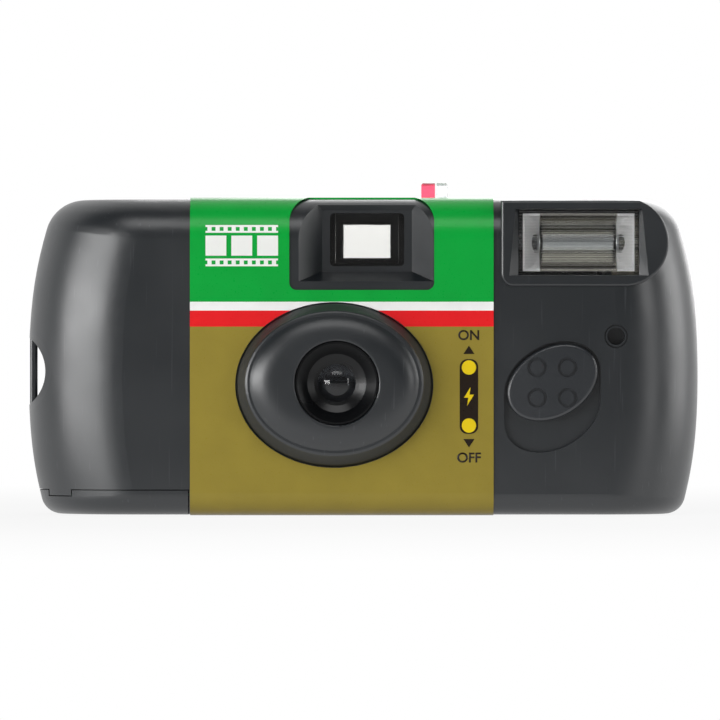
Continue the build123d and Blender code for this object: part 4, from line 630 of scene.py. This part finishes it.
NODE_FINISHES: dict[str, Finish] = {
    "front_cover": CASE_BLACK,
    "rear_cover": CASE_BLACK,
    "cartridge_door": CASE_BLACK,
    "label": LABEL_FILM,
    "main_frame": FRAME_BLACK,
    "lens_ring": RING_BLACK,
    "taking_lens": LENS_ACRYLIC,
    "lens_holder": FRAME_BLACK,
    "shutter_blade": BLACK_STEEL,
    "shutter_spring": SPRING_WIRE,
    "kick_lever": FRAME_BLACK,
    "kick_lever_spring": SPRING_WIRE,
    "release_lever": FRAME_BLACK,
    "shutter_button": BUTTON_GREY,
    "thumbwheel": FRAME_BLACK,
    "sprocket_wheel": ACETAL_WHITE,
    "counter_wheel": ACETAL_WHITE,
    "counter_window": CLEAR_ACRYLIC,
    "cartridge_shell": CARTRIDGE_SHEET,
    "cartridge_top_cap": CARTRIDGE_CAP,
    "cartridge_bottom_cap": CARTRIDGE_CAP,
    "cartridge_spool": FRAME_BLACK,
    "film_strip": FILM,
    "film_roll": FILM,
    "supply_spool": FRAME_BLACK,
    "viewfinder_front_lens": CLEAR_ACRYLIC,
    "viewfinder_eyepiece": CLEAR_ACRYLIC,
    "flash_window": WINDOW_ACRYLIC,
    "flash_reflector": REFLECTOR,
    "flash_tube": TUBE_GLASS,
    "circuit_board": BOARD,
    "main_capacitor": SLEEVE,
    "transformer": BOBBIN,
    "trigger_coil": COIL_FORM,
    "resistors": RESISTOR,
    "pilot_lamp": TUBE_GLASS,
    "battery_cell": CELL_JACKET,
    "battery_negative_contact": PLATED_STRIP,
    "battery_positive_contact": PLATED_STRIP,
    "sync_contacts": PLATED_STRIP,
    "switch_contact": PLATED_STRIP,
    "flash_switch_knob": KNOB_BLACK,
    "switch_slider": FRAME_BLACK,
    "pilot_light_pipe": PIPE_ACRYLIC,
}


class Workshop:
    """Makes finishes once, turns meshes into pieces and repeats shapes with Geometry Nodes."""

    def __init__(self) -> None:
        """Starts with no finishes made."""
        self.made: dict[str, bpy.types.Material] = {}

    def material(self, finish: Finish) -> bpy.types.Material:
        """Gives the material of a finish, made at its first use.

        Args:
            finish: the finish.

        Returns:
            Its material.
        """
        if finish.name not in self.made:
            self.made[finish.name] = finish.build()
        return self.made[finish.name]

    def piece(
        self, name: str, bm: Shape, finish: Finish, body: str, slot: str, smooth: float | None = 35.0
    ) -> bpy.types.Object:
        """Turns a mesh in metres into a piece that rides on a body.

        Args:
            name: the piece's name.
            bm: its mesh, which is freed.
            finish: its finish.
            body: the CAD body it rides on.
            slot: the record's material slot; not used.
            smooth: angle in degrees under which edges shade smooth, or None for flat faces.

        Returns:
            The object.
        """
        mesh = bpy.data.meshes.new(name)
        bmesh.ops.recalc_face_normals(bm, faces=bm.faces)
        bm.to_mesh(mesh)
        bm.free()
        mesh.materials.append(self.material(finish))
        if smooth is not None:
            mesh.shade_smooth()
            mesh.set_sharp_from_angle(angle=math.radians(smooth))
        piece = bpy.data.objects.new(name, mesh)
        bpy.context.scene.collection.objects.link(piece)
        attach(piece, body)
        LOG.info("%s: %d faces on %s", name, len(mesh.polygons), body)
        return piece

    def repeat_tree(self, finish: Finish) -> Tree:
        """Builds the tree that repeats the host's own mesh along a step, turned by a step.

        Args:
            finish: the finish set on the result.

        Returns:
            The tree, with inputs Count, Step, Turn, Tilt and Centre.
        """
        tree = bpy.data.node_groups.new("repeat_" + finish.name, "GeometryNodeTree")
        face = tree.interface
        face.new_socket("Geometry", in_out="INPUT", socket_type="NodeSocketGeometry")
        face.new_socket("Count", in_out="INPUT", socket_type="NodeSocketInt")
        for name in ("Step", "Turn", "Tilt", "Centre"):
            face.new_socket(name, in_out="INPUT", socket_type="NodeSocketVector")
        face.new_socket("Geometry", in_out="OUTPUT", socket_type="NodeSocketGeometry")
        given = add_node(tree, "NodeGroupInput").outputs
        line = add_node(
            tree,
            "GeometryNodeMeshLine",
            {"mode": "OFFSET"},
            {"Count": given["Count"], "Offset": given["Step"]},
        )
        index = add_node(tree, "GeometryNodeInputIndex").outputs[0]
        turned = add_node(
            tree, "ShaderNodeVectorMath", {"operation": "SCALE"}, {0: given["Turn"], "Scale": index}
        ).outputs[0]
        copies = add_node(
            tree,
            "GeometryNodeInstanceOnPoints",
            None,
            {"Points": line.outputs[0], "Instance": given["Geometry"], "Rotation": turned},
        ).outputs[0]
        real = add_node(tree, "GeometryNodeRealizeInstances", None, {0: copies}).outputs[0]
        placed = add_node(
            tree,
            "GeometryNodeTransform",
            None,
            {"Geometry": real, "Translation": given["Centre"], "Rotation": given["Tilt"]},
        ).outputs[0]
        dressed = add_node(
            tree, "GeometryNodeSetMaterial", {"Material": self.material(finish)}, {"Geometry": placed}
        ).outputs[0]
        add_node(tree, "NodeGroupOutput", None, {0: dressed})
        return tree

    def repeated(
        self,
        unit: Shape,
        finish: Finish,
        count: int,
        step: Sequence[float] = (0, 0, 0),
        turn: Sequence[float] = (0, 0, 0),
        centre: Sequence[float] = (0, 0, 0),
        tilt: Sequence[float] = (0, 0, 0),
    ) -> Shape:
        """Repeats a shape with Geometry Nodes and gives the plain result.

        Args:
            unit: the shape, in metres, which is freed.
            finish: the finish set by the tree.
            count: how many copies.
            step: shift from one copy to the next.
            turn: turn from one copy to the next, in radians about X, Y and Z.
            centre: where the whole row goes.
            tilt: how the whole row is turned, before it is moved.

        Returns:
            A new mesh of all the copies.
        """
        mesh = bpy.data.meshes.new("unit")
        unit.to_mesh(mesh)
        unit.free()
        host = bpy.data.objects.new("unit", mesh)
        bpy.context.scene.collection.objects.link(host)
        tree = self.repeat_tree(finish)
        modifier = host.modifiers.new("repeat", "NODES")
        modifier.node_group = tree
        values = {"Count": count, "Step": step, "Turn": turn, "Tilt": tilt, "Centre": centre}
        for item in tree.interface.items_tree:
            if item.in_out == "INPUT" and item.name in values:
                modifier[item.identifier] = values[item.name]
        graph = bpy.context.evaluated_depsgraph_get()
        plain = bpy.data.meshes.new_from_object(host.evaluated_get(graph), depsgraph=graph)
        host.modifiers.remove(modifier)
        result = bmesh.new()
        result.from_mesh(plain)
        bpy.data.objects.remove(host)
        bpy.data.meshes.remove(plain)
        bpy.data.meshes.remove(mesh)
        bpy.data.node_groups.remove(tree)
        return result

    def dress_cad(self) -> None:
        """Gives each CAD node its finish."""
        for name, finish in NODE_FINISHES.items():
            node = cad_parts[name]
            for slot in node.material_slots:
                slot.material = self.material(finish)
            LOG.info("%s: %s", name, finish.name)


def rounded_outline(width: float, height: float, radius: float, steps: int = 6) -> list[tuple[float, float]]:
    """Gives the points of a rounded rectangle about the origin.

    Args:
        width: full width.
        height: full height.
        radius: corner radius.
        steps: segments in a corner.

    Returns:
        The points, anticlockwise.
    """
    points = []
    for corner, (sx, sz) in enumerate(((1, 1), (-1, 1), (-1, -1), (1, -1))):
        cx, cz = sx * (width / 2 - radius), sz * (height / 2 - radius)
        for i in range(steps + 1):
            angle = math.radians(90 * corner + 90 * i / steps)
            points.append((cx + radius * math.cos(angle), cz + radius * math.sin(angle)))
    return points


def add_plate(bm: Shape, points: Iterable[tuple[float, float]], x: float, z: float) -> None:
    """Adds a flat face in the plane of the front, facing -Y.

    Args:
        bm: the mesh to add to, in metres.
        points: outline in millimetres.
        x: its centre in millimetres.
        z: its centre in millimetres.
    """
    corners = [bm.verts.new(((x + px) * MM, 0.0, (z + pz) * MM)) for px, pz in points]
    bm.faces.new(corners)


def add_bar(bm: Shape, width: float, height: float, x: float, z: float) -> None:
    """Adds a flat rectangle in the plane of the front, facing -Y.

    Args:
        bm: the mesh to add to, in metres.
        width: its width in millimetres.
        height: its height in millimetres.
        x: its centre in millimetres.
        z: its centre in millimetres.
    """
    half, rise = width / 2, height / 2
    add_plate(bm, [(-half, -rise), (half, -rise), (half, rise), (-half, rise)], x, z)


def add_block(bm: Shape, low: Sequence[float], high: Sequence[float], round_mm: float = 0.0) -> None:
    """Adds a box between two corners in millimetres, with its edges rounded.

    Args:
        bm: the mesh to add to.
        low: lowest corner.
        high: highest corner.
        round_mm: radius on the edges.
    """
    size = [(b - a) * MM for a, b in zip(low, high)]
    middle = [(a + b) / 2 * MM for a, b in zip(low, high)]
    place = Matrix.Translation(middle) @ Matrix.Diagonal((*size, 1))
    made = bmesh.ops.create_cube(bm, size=1.0, matrix=place)
    if round_mm:
        edges = {edge for vert in made["verts"] for edge in vert.link_edges}
        bmesh.ops.bevel(bm, geom=list(edges), offset=round_mm * MM, segments=2, affect="EDGES")


def join_rings(bm: Shape, first: list, second: list) -> None:
    """Adds the faces between two rings of vertices; a ring of one vertex makes a fan.

    Args:
        bm: the mesh that holds them.
        first: one ring.
        second: the next ring.
    """
    sides = max(len(first), len(second))
    for k in range(sides):
        j = (k + 1) % sides
        near = (first[k % len(first)], first[j % len(first)])
        far = (second[j % len(second)], second[k % len(second)])
        bm.faces.new(list(dict.fromkeys(near + far)))


def pour(source: Shape, target: Shape) -> None:
    """Adds one mesh to another and frees it.

    Args:
        source: the mesh to add, which is freed.
        target: the mesh that takes it.
    """
    mesh = bpy.data.meshes.new("poured")
    source.to_mesh(mesh)
    source.free()
    target.from_mesh(mesh)
    bpy.data.meshes.remove(mesh)


def add_tube(bm: Shape, path: Sequence[Sequence[float]], radius: float, sides: int = 10) -> None:
    """Adds a closed round tube along points in millimetres.

    Args:
        bm: the mesh to add to.
        path: the points.
        radius: radius in millimetres.
        sides: faces round it.
    """
    points = [Vector(p) * MM for p in path]
    rings = []
    side = None
    for i, point in enumerate(points):
        ahead = (points[min(i + 1, len(points) - 1)] - points[max(i - 1, 0)]).normalized()
        if side is None:
            side = ahead.orthogonal().normalized()
        side = (side - ahead * side.dot(ahead)).normalized()
        other = ahead.cross(side)
        ring = []
        for k in range(sides):
            angle = math.tau * k / sides
            out = side * math.cos(angle) + other * math.sin(angle)
            ring.append(bm.verts.new(point + out * radius * MM))
        rings.append(ring)
    for first, second in zip(rings, rings[1:]):
        join_rings(bm, first, second)
    bm.faces.new(list(reversed(rings[0])))
    bm.faces.new(rings[-1])


def flat_word(text: str, x: float, z: float, size: float) -> Shape:
    """Gives a word as flat faces at y = 0.

    Args:
        text: the word.
        x: its middle.
        z: its middle height.
        size: letter size in millimetres.

    Returns:
        The faces, in metres.
    """
    curve = bpy.data.curves.new("word", "FONT")
    curve.body = text
    curve.size = size * MM
    curve.align_x = "CENTER"
    curve.align_y = "CENTER"
    curve.offset = 0.02 * size * MM
    curve.fill_mode = "FRONT"
    holder = bpy.data.objects.new("word", curve)
    bpy.context.scene.collection.objects.link(holder)
    graph = bpy.context.evaluated_depsgraph_get()
    mesh = bpy.data.meshes.new_from_object(holder.evaluated_get(graph), depsgraph=graph)
    bm = bmesh.new()
    bm.from_mesh(mesh)
    bpy.data.objects.remove(holder)
    bpy.data.meshes.remove(mesh)
    bpy.data.curves.remove(curve)
    bm.transform(Matrix.Translation((x * MM, 0, z * MM)) @ Matrix.Rotation(math.pi / 2, 4, "X"))
    bmesh.ops.remove_doubles(bm, verts=bm.verts, dist=1e-7)
    return bm


@dataclass
class LabelPrint:
    """The generic print on the band: a strip of film frames and the mark beside the flash switch."""

    shop: Workshop
    ink_mm: float = 0.03
    sunk_mm: float = 0.1
    strip_x: float = -19.4
    strip_z: float = 43.2
    strip_width: float = 11.6
    strip_height: float = 6.6
    frame_gap: float = 0.8
    hole: float = 0.62
    hole_count: int = 9
    hole_slices: int = 3
    frame_slices: int = 10
    frame_margin: float = 0.9
    marker_x: float = 16.95
    pill_z: float = 19.06
    pill_width: float = 2.95
    pill_height: float = 11.95
    disc_radius: float = 1.15
    disc_sides: int = 32
    disc_spread: float = 4.64
    word_size: float = 2.2
    on_z: float = 28.8
    off_z: float = 9.2
    arrow: float = 0.9
    arrow_gap: float = 1.5
    pill_corner: float = 1.2
    bolt: tuple = ((0.25, 1.5), (-0.8, -0.2), (-0.1, -0.2), (-0.3, -1.5), (0.8, 0.3), (0.1, 0.3))
    surface: BVHTree | None = field(default=None, repr=False)

    def build(self) -> None:
        """Makes all the prints."""
        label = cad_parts["label"]
        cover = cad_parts["front_cover"]
        verts: list[Vector] = []
        faces: list[tuple[int, ...]] = []
        for source in (label, cover):
            start = len(verts)
            verts.extend(v.co.copy() for v in source.data.vertices)
            faces.extend(tuple(start + i for i in p.vertices) for p in source.data.polygons)
        self.surface = BVHTree.FromPolygons(verts, faces)
        self.film_frames()
        self.switch_mark()

    def lay(self, bm: Shape, lift_mm: float = 0.0) -> Shape:
        """Lays flat faces on the label's front and gives them the thickness of ink.

        Args:
            bm: faces at y = 0.
            lift_mm: extra height over the label, for a print on a print.

        Returns:
            The same mesh, now a thin closed sheet.
        """
        front = list(bm.faces)
        made = bmesh.ops.extrude_face_region(bm, geom=front)
        backs = {v for v in made["geom"] if isinstance(v, bmesh.types.BMVert)}
        for vert in bm.verts:
            start = Vector((vert.co.x, -0.1, vert.co.z))
            spot = self.surface.ray_cast(start, Vector((0, 1, 0)))[0]
            depth = self.sunk_mm if vert in backs else -self.ink_mm - lift_mm
            vert.co.y = spot.y + depth * MM
        return bm

    def film_frames(self) -> None:
        """A white strip with two rows of holes and three frames, in place of other print."""
        bm = bmesh.new()
        hole_row = self.strip_height / 2 - self.hole
        pitch = self.strip_width / self.hole_count
        # Between two holes stands a bar in slices, repeated along the strip
        for side in (-1, 1):
            edge = bmesh.new()
            low = self.strip_z + side * hole_row - self.hole / 2
            left = self.strip_x - self.strip_width / 2 + pitch / 2
            for k in range(self.hole_slices):
                slice_z = low + self.hole * (k + 0.5) / self.hole_slices
                add_bar(edge, pitch - self.hole, self.hole / self.hole_slices, left, slice_z)
            pour(self.shop.repeated(edge, INK_WHITE, self.hole_count, step=(pitch * MM, 0, 0)), bm)
        # A long bar closes each row of holes above and below
        for side in (-1, 1):
            for away in (-0.75, 0.75):
                bar_z = self.strip_z + side * (hole_row + away * self.hole)
                add_bar(bm, self.strip_width, self.hole / 2, self.strip_x, bar_z)
        # The frames are in slices too, so that they bend with the label
        frame_width = (self.strip_width - 2 * self.frame_gap) / 3
        frame_height = self.strip_height - 4 * self.hole - self.frame_margin
        slice_height = frame_height / self.frame_slices
        for k in (-1, 0, 1):
            frame_x = self.strip_x + k * (frame_width + self.frame_gap)
            for i in range(self.frame_slices):
                slice_z = self.strip_z - frame_height / 2 + slice_height * (i + 0.5)
                add_bar(bm, frame_width, slice_height, frame_x, slice_z)
        bmesh.ops.remove_doubles(bm, verts=bm.verts, dist=1e-6)
        self.shop.piece("label_print_film_frames", self.lay(bm), INK_WHITE, CAMERA_BODY, PRINT_SLOT, None)

    def switch_mark(self) -> None:
        """ON, an arrow each way, a dark pill with two discs and a bolt, and OFF."""
        for name, text, z in (("on", "ON", self.on_z), ("off", "OFF", self.off_z)):
            bm = flat_word(text, self.marker_x, z, self.word_size)
            self.shop.piece("label_print_" + name, self.lay(bm), INK_BROWN, CAMERA_BODY, PRINT_SLOT, None)
        bm = bmesh.new()
        a = self.arrow
        gap = self.pill_height / 2 + self.arrow_gap
        add_plate(bm, [(-a, -a * 0.75), (a, -a * 0.75), (0, a * 0.75)], self.marker_x, self.pill_z + gap)
        add_plate(bm, [(-a, a * 0.75), (0, -a * 0.75), (a, a * 0.75)], self.marker_x, self.pill_z - gap)
        self.shop.piece("label_print_arrows", self.lay(bm), INK_BROWN, CAMERA_BODY, PRINT_SLOT, None)
        bm = bmesh.new()
        pill = rounded_outline(self.pill_width, self.pill_height, self.pill_corner, 8)
        add_plate(bm, pill, self.marker_x, self.pill_z)
        self.shop.piece("label_print_pill", self.lay(bm), INK_BROWN, CAMERA_BODY, PRINT_SLOT, None)
        bm = bmesh.new()
        angles = [math.tau * i / self.disc_sides for i in range(self.disc_sides)]
        disc = [(self.disc_radius * math.cos(a), self.disc_radius * math.sin(a)) for a in angles]
        for side in (-1, 1):
            add_plate(bm, disc, self.marker_x, self.pill_z + side * self.disc_spread)
        add_plate(bm, self.bolt, self.marker_x, self.pill_z)
        self.shop.piece(
            "label_print_discs", self.lay(bm, self.ink_mm), INK_YELLOW, CAMERA_BODY, PRINT_SLOT, None
        )


@dataclass
class CounterDial:
    """Figures and strokes on the counter wheel, seen through the window in the top."""

    shop: Workshop
    axis: tuple[float, float] = (-20.3, 1.0)
    top_z: float = 48.5
    ink_mm: float = 0.02
    figure_size: float = 1.5
    figure_radius: float = 3.9
    stroke_radius: float = 5.1
    highest: int = 26
    figure_step: int = 2

    def build(self) -> None:
        """Makes the strokes with Geometry Nodes and the figures from text."""
        steps = self.highest + 2
        unit = bmesh.new()
        add_block(unit, (self.stroke_radius - 0.35, -0.07, 0), (self.stroke_radius + 0.35, 0.07, self.ink_mm))
        strokes = self.shop.repeated(
            unit,
            INK_BLACK,
            steps,
            turn=(0, 0, math.tau / steps),
            centre=(self.axis[0] * MM, self.axis[1] * MM, self.top_z * MM),
        )
        self.shop.piece("counter_strokes", strokes, INK_BLACK, "counter", "white_plastic", None)
        whole = bmesh.new()
        for value in range(0, self.highest + 1, self.figure_step):
            digit = flat_word(str(value), 0, 0, self.figure_size)
            digit.transform(Matrix.Rotation(-math.pi / 2, 4, "X"))
            angle = math.tau * value / steps
            place = (
                Matrix.Translation((self.axis[0] * MM, self.axis[1] * MM, (self.top_z + self.ink_mm) * MM))
                @ Matrix.Rotation(angle, 4, "Z")
                @ Matrix.Translation((0, -self.figure_radius * MM, 0))
            )
            digit.transform(place)
            pour(digit, whole)
        made = bmesh.ops.extrude_face_region(whole, geom=list(whole.faces))
        for vert in (v for v in made["geom"] if isinstance(v, bmesh.types.BMVert)):
            vert.co.z = (self.top_z - self.ink_mm) * MM
        self.shop.piece("counter_figures", whole, INK_BLACK, "counter", "white_plastic", None)


@dataclass
class Windings:
    """Turns of wire on the trigger coil, and solder beads on the board."""

    shop: Workshop
    wire_mm: float = 0.16
    bead_mm: float = 0.55
    bead_count: int = 9
    bead_inset_x: float = 3.0
    bead_inset_z: float = 4.0
    wound_share: float = 0.6

    def coil(self) -> None:
        """Enamelled turns round the trigger coil, repeated along its length."""
        low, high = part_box("trigger_coil")
        middle = [(a + b) / 2 / MM for a, b in zip(low, high)]
        radius = min(high[1] - low[1], high[2] - low[2]) / 2 / MM
        length = (high[0] - low[0]) / MM
        turns = int(length * self.wound_share / (2 * self.wire_mm))
        unit = bmesh.new()
        rings, sides = 28, 6
        loops = []
        for i in range(rings):
            angle = math.tau * i / rings
            loop = []
            for k in range(sides):
                bend = math.tau * k / sides
                r = radius + self.wire_mm * math.cos(bend) * 0.9
                spot = Vector((self.wire_mm * math.sin(bend), r * math.cos(angle), r * math.sin(angle)))
                loop.append(unit.verts.new(spot * MM))
            loops.append(loop)
        for first, second in zip(loops, loops[1:] + loops[:1]):
            join_rings(unit, first, second)
        start = middle[0] - turns * self.wire_mm
        made = self.shop.repeated(
            unit,
            COPPER_WIRE,
            turns,
            step=(2 * self.wire_mm * MM, 0, 0),
            centre=(start * MM, middle[1] * MM, middle[2] * MM),
        )
        self.shop.piece("trigger_coil_turns", made, COPPER_WIRE, CAMERA_BODY, "coil_brown")

    def beads(self) -> None:
        """Rows of solder beads on the front of the circuit board."""
        low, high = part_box("circuit_board")
        unit = bmesh.new()
        bmesh.ops.create_uvsphere(unit, u_segments=12, v_segments=6, radius=self.bead_mm * MM)
        bmesh.ops.scale(unit, vec=(1, 0.5, 1), verts=unit.verts)
        step = (high[2] - low[2] - 2 * self.bead_inset_z * MM) / (self.bead_count - 1)
        made = self.shop.repeated(
            unit,
            SOLDER,
            self.bead_count,
            step=(0, 0, step),
            centre=(high[0] - self.bead_inset_x * MM, low[1], low[2] + self.bead_inset_z * MM),
        )
        self.shop.piece("solder_beads", made, SOLDER, CAMERA_BODY, "contact_brass")

    def build(self) -> None:
        """Makes the turns and beads."""
        self.coil()
        self.beads()


@dataclass
class TakingLens:
    """The polished lens, turned finely about its axis so that its reflections are smooth."""

    shop: Workshop
    cap_radius: float = 3.6
    front_radius: float = 4.6
    back_land: float = 3.5
    back_radius: float = 12.5
    edge: float = 1.1
    rings: int = 20
    sides: int = 96

    def profile(self, apex: float, seat: float, rim: float) -> list[tuple[float, float]]:
        """Gives the half outline from the front apex round to the middle of the back.

        Args:
            apex: depth of the front apex in millimetres.
            seat: depth of the flat back edge.
            rim: outer radius.

        Returns:
            Radius and depth of each point.
        """
        points = []
        for i in range(self.rings + 1):
            r = self.cap_radius * i / self.rings
            points.append((r, apex + self.front_radius - math.sqrt(self.front_radius**2 - r**2)))
        points += [(rim, seat - self.edge), (rim, seat)]
        sag = self.back_radius - math.sqrt(self.back_radius**2 - self.back_land**2)
        for i in range(self.rings + 1):
            r = self.back_land * (1 - i / self.rings)
            points.append((r, seat - sag + self.back_radius - math.sqrt(self.back_radius**2 - r**2)))
        return points

    def build(self) -> None:
        """Turns the outline about the lens axis and puts it in the lens's place."""
        low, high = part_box("taking_lens")
        centre_x, centre_z = (low[0] + high[0]) / 2 / MM, (low[2] + high[2]) / 2 / MM
        rim = (high[0] - low[0]) / 2 / MM
        points = self.profile(low[1] / MM, high[1] / MM, rim)
        bm = bmesh.new()
        loops = []
        for r, depth in points:
            if r < 1e-6:
                loops.append([bm.verts.new((centre_x * MM, depth * MM, centre_z * MM))])
                continue
            loop = []
            for k in range(self.sides):
                angle = math.tau * k / self.sides
                spot = (centre_x + r * math.cos(angle), depth, centre_z + r * math.sin(angle))
                loop.append(bm.verts.new([value * MM for value in spot]))
            loops.append(loop)
        for first, second in zip(loops, loops[1:]):
            join_rings(bm, first, second)
        piece = self.shop.piece("taking_lens_polished", bm, LENS_ACRYLIC, CAMERA_BODY, "clear_optics", 30.0)
        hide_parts("taking_lens")


@dataclass
class FlashTubeCaps:
    """Dark metal bands near the ends of the flash tube, where its electrodes are sealed in."""

    shop: Workshop
    band_from: float = 5.7
    band_to: float = 6.1
    lift: float = 0.04
    sides: int = 40

    def build(self) -> None:
        """Makes the two bands round the tube."""
        low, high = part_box("flash_tube")
        centre = [(a + b) / 2 / MM for a, b in zip(low, high)]
        radius = (high[2] - low[2]) / 2 / MM + self.lift
        bm = bmesh.new()
        for side in (-1, 1):
            near, far = centre[0] + side * self.band_from, centre[0] + side * self.band_to
            add_tube(bm, [(near, centre[1], centre[2]), (far, centre[1], centre[2])], radius, self.sides)
        self.shop.piece("flash_tube_bands", bm, BLACK_STEEL, CAMERA_BODY, "blackened_steel")


# Name, centre and size in metres, and power in watts of each soft lamp
LAMPS = (
    ("top_front", (0.0, -0.52, 0.58), (0.5, 0.3), 1.3),
    ("left_front", (-0.66, -0.49, 0.09), (0.8, 0.26), 6.2),
    ("right_front", (0.61, -0.51, 0.09), (0.2, 0.4), 0.8),
    ("right_side", (0.82, 0.08, 0.12), (0.45, 0.8), 4.5),
    ("back_fill", (0.25, 0.85, 0.35), (0.6, 0.6), 3.6),
)
LAMP_TARGET = (0, 0, 0.025)


@dataclass
class Studio:
    """Floor, soft lamps, white surround and the camera at the photograph's place."""

    shop: Workshop
    view_width_mm: float = 115.2
    view_x_mm: float = -0.48
    view_z_mm: float = 24.9
    distance_mm: float = 1500.0
    front_mm: float = -12.3
    sensor_mm: float = 36.0
    world_light: float = 0.1
    paper_edge: float = 0.4
    shadow_reach: float = 0.12
    shadow_share: float = 0.88
    floor_half: float = 3.0

    def lamp(
        self, name: str, place: Sequence[float], aim: Sequence[float], size: tuple[float, float], watts: float
    ) -> None:
        """Adds a soft rectangular lamp.

        Args:
            name: its name.
            place: its centre in metres.
            aim: the point it faces.
            size: width and height in metres.
            watts: its power.
        """
        data = bpy.data.lights.new(name, "AREA")
        data.shape = "RECTANGLE"
        data.size, data.size_y = size
        data.energy = watts
        lamp = bpy.data.objects.new(name, data)
        lamp.location = place
        lamp.rotation_euler = (Vector(aim) - Vector(place)).to_track_quat("-Z", "Y").to_euler()
        bpy.context.scene.collection.objects.link(lamp)

    def seen_share(self, tree: Tree, lit: Socket) -> Socket:
        """Gives 1 for the rays that see the white ground: the camera's, and glass and gloss where it is lit.

        Args:
            tree: the node tree.
            lit: 1 where the ground stands lit behind and under the object, 0 in the dim room in front.

        Returns:
            The share, 0 to 1.
        """
        path = add_node(tree, "ShaderNodeLightPath").outputs
        shine = add_node(
            tree,
            "ShaderNodeMath",
            {"operation": "MAXIMUM"},
            {0: path["Is Glossy Ray"], 1: path["Is Transmission Ray"]},
        ).outputs[0]
        shine = add_node(tree, "ShaderNodeMath", {"operation": "MULTIPLY"}, {0: shine, 1: lit}).outputs[0]
        return add_node(
            tree, "ShaderNodeMath", {"operation": "MAXIMUM"}, {0: path["Is Camera Ray"], 1: shine}
        ).outputs[0]

    def surround(self) -> None:
        """White for the camera, gloss and glass; a plain soft light for everything else."""
        world = bpy.data.worlds.new("studio")
        bpy.context.scene.world = world
        world.use_nodes = True
        tree = world.node_tree
        tree.nodes.clear()
        # The white paper stands behind the object, so gloss and glass see it there; the room is dim
        direction = add_node(tree, "ShaderNodeTexCoord").outputs["Generated"]
        depth = add_node(tree, "ShaderNodeSeparateXYZ", None, {0: direction}).outputs["Y"]
        behind = add_node(
            tree, "ShaderNodeMapRange", {"From Min": -0.1, "From Max": self.paper_edge}, {"Value": depth}
        ).outputs[0]
        seen = self.seen_share(tree, behind)
        paper = {"Color": linear("ffffff"), "Strength": 1.0}
        soft = add_node(tree, "ShaderNodeBackground", {**paper, "Strength": self.world_light})
        white = add_node(tree, "ShaderNodeBackground", paper)
        mixed = add_node(
            tree, "ShaderNodeMixShader", None, {0: seen, 1: soft.outputs[0], 2: white.outputs[0]}
        ).outputs[0]
        add_node(tree, "ShaderNodeOutputWorld", None, {0: mixed})

    def floor(self) -> None:
        """A pale floor that reads white and keeps the shadow."""
        bm = bmesh.new()
        bmesh.ops.create_grid(bm, x_segments=4, y_segments=4, size=self.floor_half)
        mesh = bpy.data.meshes.new("floor")
        bm.to_mesh(mesh)
        bm.free()
        material = bpy.data.materials.new("paper_pale_floor")
        material.use_nodes = True
        tree = material.node_tree
        tree.nodes.clear()
        # Near the object the paper keeps its shadow; further out it turns to plain white
        place = add_node(tree, "ShaderNodeTexCoord").outputs["Object"]
        away = add_node(tree, "ShaderNodeVectorMath", {"operation": "LENGTH"}, {0: place}).outputs["Value"]
        share = add_node(
            tree,
            "ShaderNodeMapRange",
            {"From Min": self.shadow_reach, "From Max": 3 * self.shadow_reach, "To Min": self.shadow_share},
            {"Value": away},
        ).outputs[0]
        depth = add_node(tree, "ShaderNodeSeparateXYZ", None, {0: place}).outputs["Y"]
        lit = add_node(
            tree,
            "ShaderNodeMapRange",
            {"From Min": -self.shadow_reach, "From Max": -self.shadow_reach / 2},
            {"Value": depth},
        ).outputs[0]
        seen = add_node(
            tree, "ShaderNodeMath", {"operation": "MULTIPLY"}, {0: self.seen_share(tree, lit), 1: share}
        ).outputs[0]
        paper = add_node(tree, "ShaderNodeBsdfDiffuse", {"Color": linear("ececec")}).outputs[0]
        white = add_node(tree, "ShaderNodeEmission", {"Color": linear("ffffff"), "Strength": 1.0}).outputs[0]
        mixed = add_node(tree, "ShaderNodeMixShader", None, {0: seen, 1: paper, 2: white}).outputs[0]
        add_node(tree, "ShaderNodeOutputMaterial", None, {0: mixed})
        mesh.materials.append(material)
        floor = bpy.data.objects.new("floor", mesh)
        bpy.context.scene.collection.objects.link(floor)

    def camera(self) -> None:
        """A long lens straight in front, framed as the photograph is."""
        data = bpy.data.cameras.new("camera")
        data.sensor_width = self.sensor_mm
        data.lens = self.sensor_mm * self.distance_mm / self.view_width_mm
        data.clip_start = 0.01
        data.clip_end = 20.0
        camera = bpy.data.objects.new("camera", data)
        camera.location = (self.view_x_mm * MM, (self.front_mm - self.distance_mm) * MM, self.view_z_mm * MM)
        camera.rotation_euler = (math.pi / 2, 0, 0)
        bpy.context.scene.collection.objects.link(camera)
        bpy.context.scene.camera = camera

    def build(self) -> None:
        """Sets up the studio."""
        scene = bpy.context.scene
        scene.view_settings.view_transform = "Standard"
        self.surround()
        self.floor()
        for name, place, size, watts in LAMPS:
            self.lamp(name, place, LAMP_TARGET, size, watts)
        self.camera()


def main() -> None:
    """Builds the looks in order and reports each piece."""
    logging.basicConfig(level=logging.INFO, format="%(message)s")
    shop = Workshop()
    shop.dress_cad()
    LabelPrint(shop).build()
    CounterDial(shop).build()
    Windings(shop).build()
    TakingLens(shop).build()
    FlashTubeCaps(shop).build()
    Studio(shop).build()


if __name__ == "__main__":
    main()
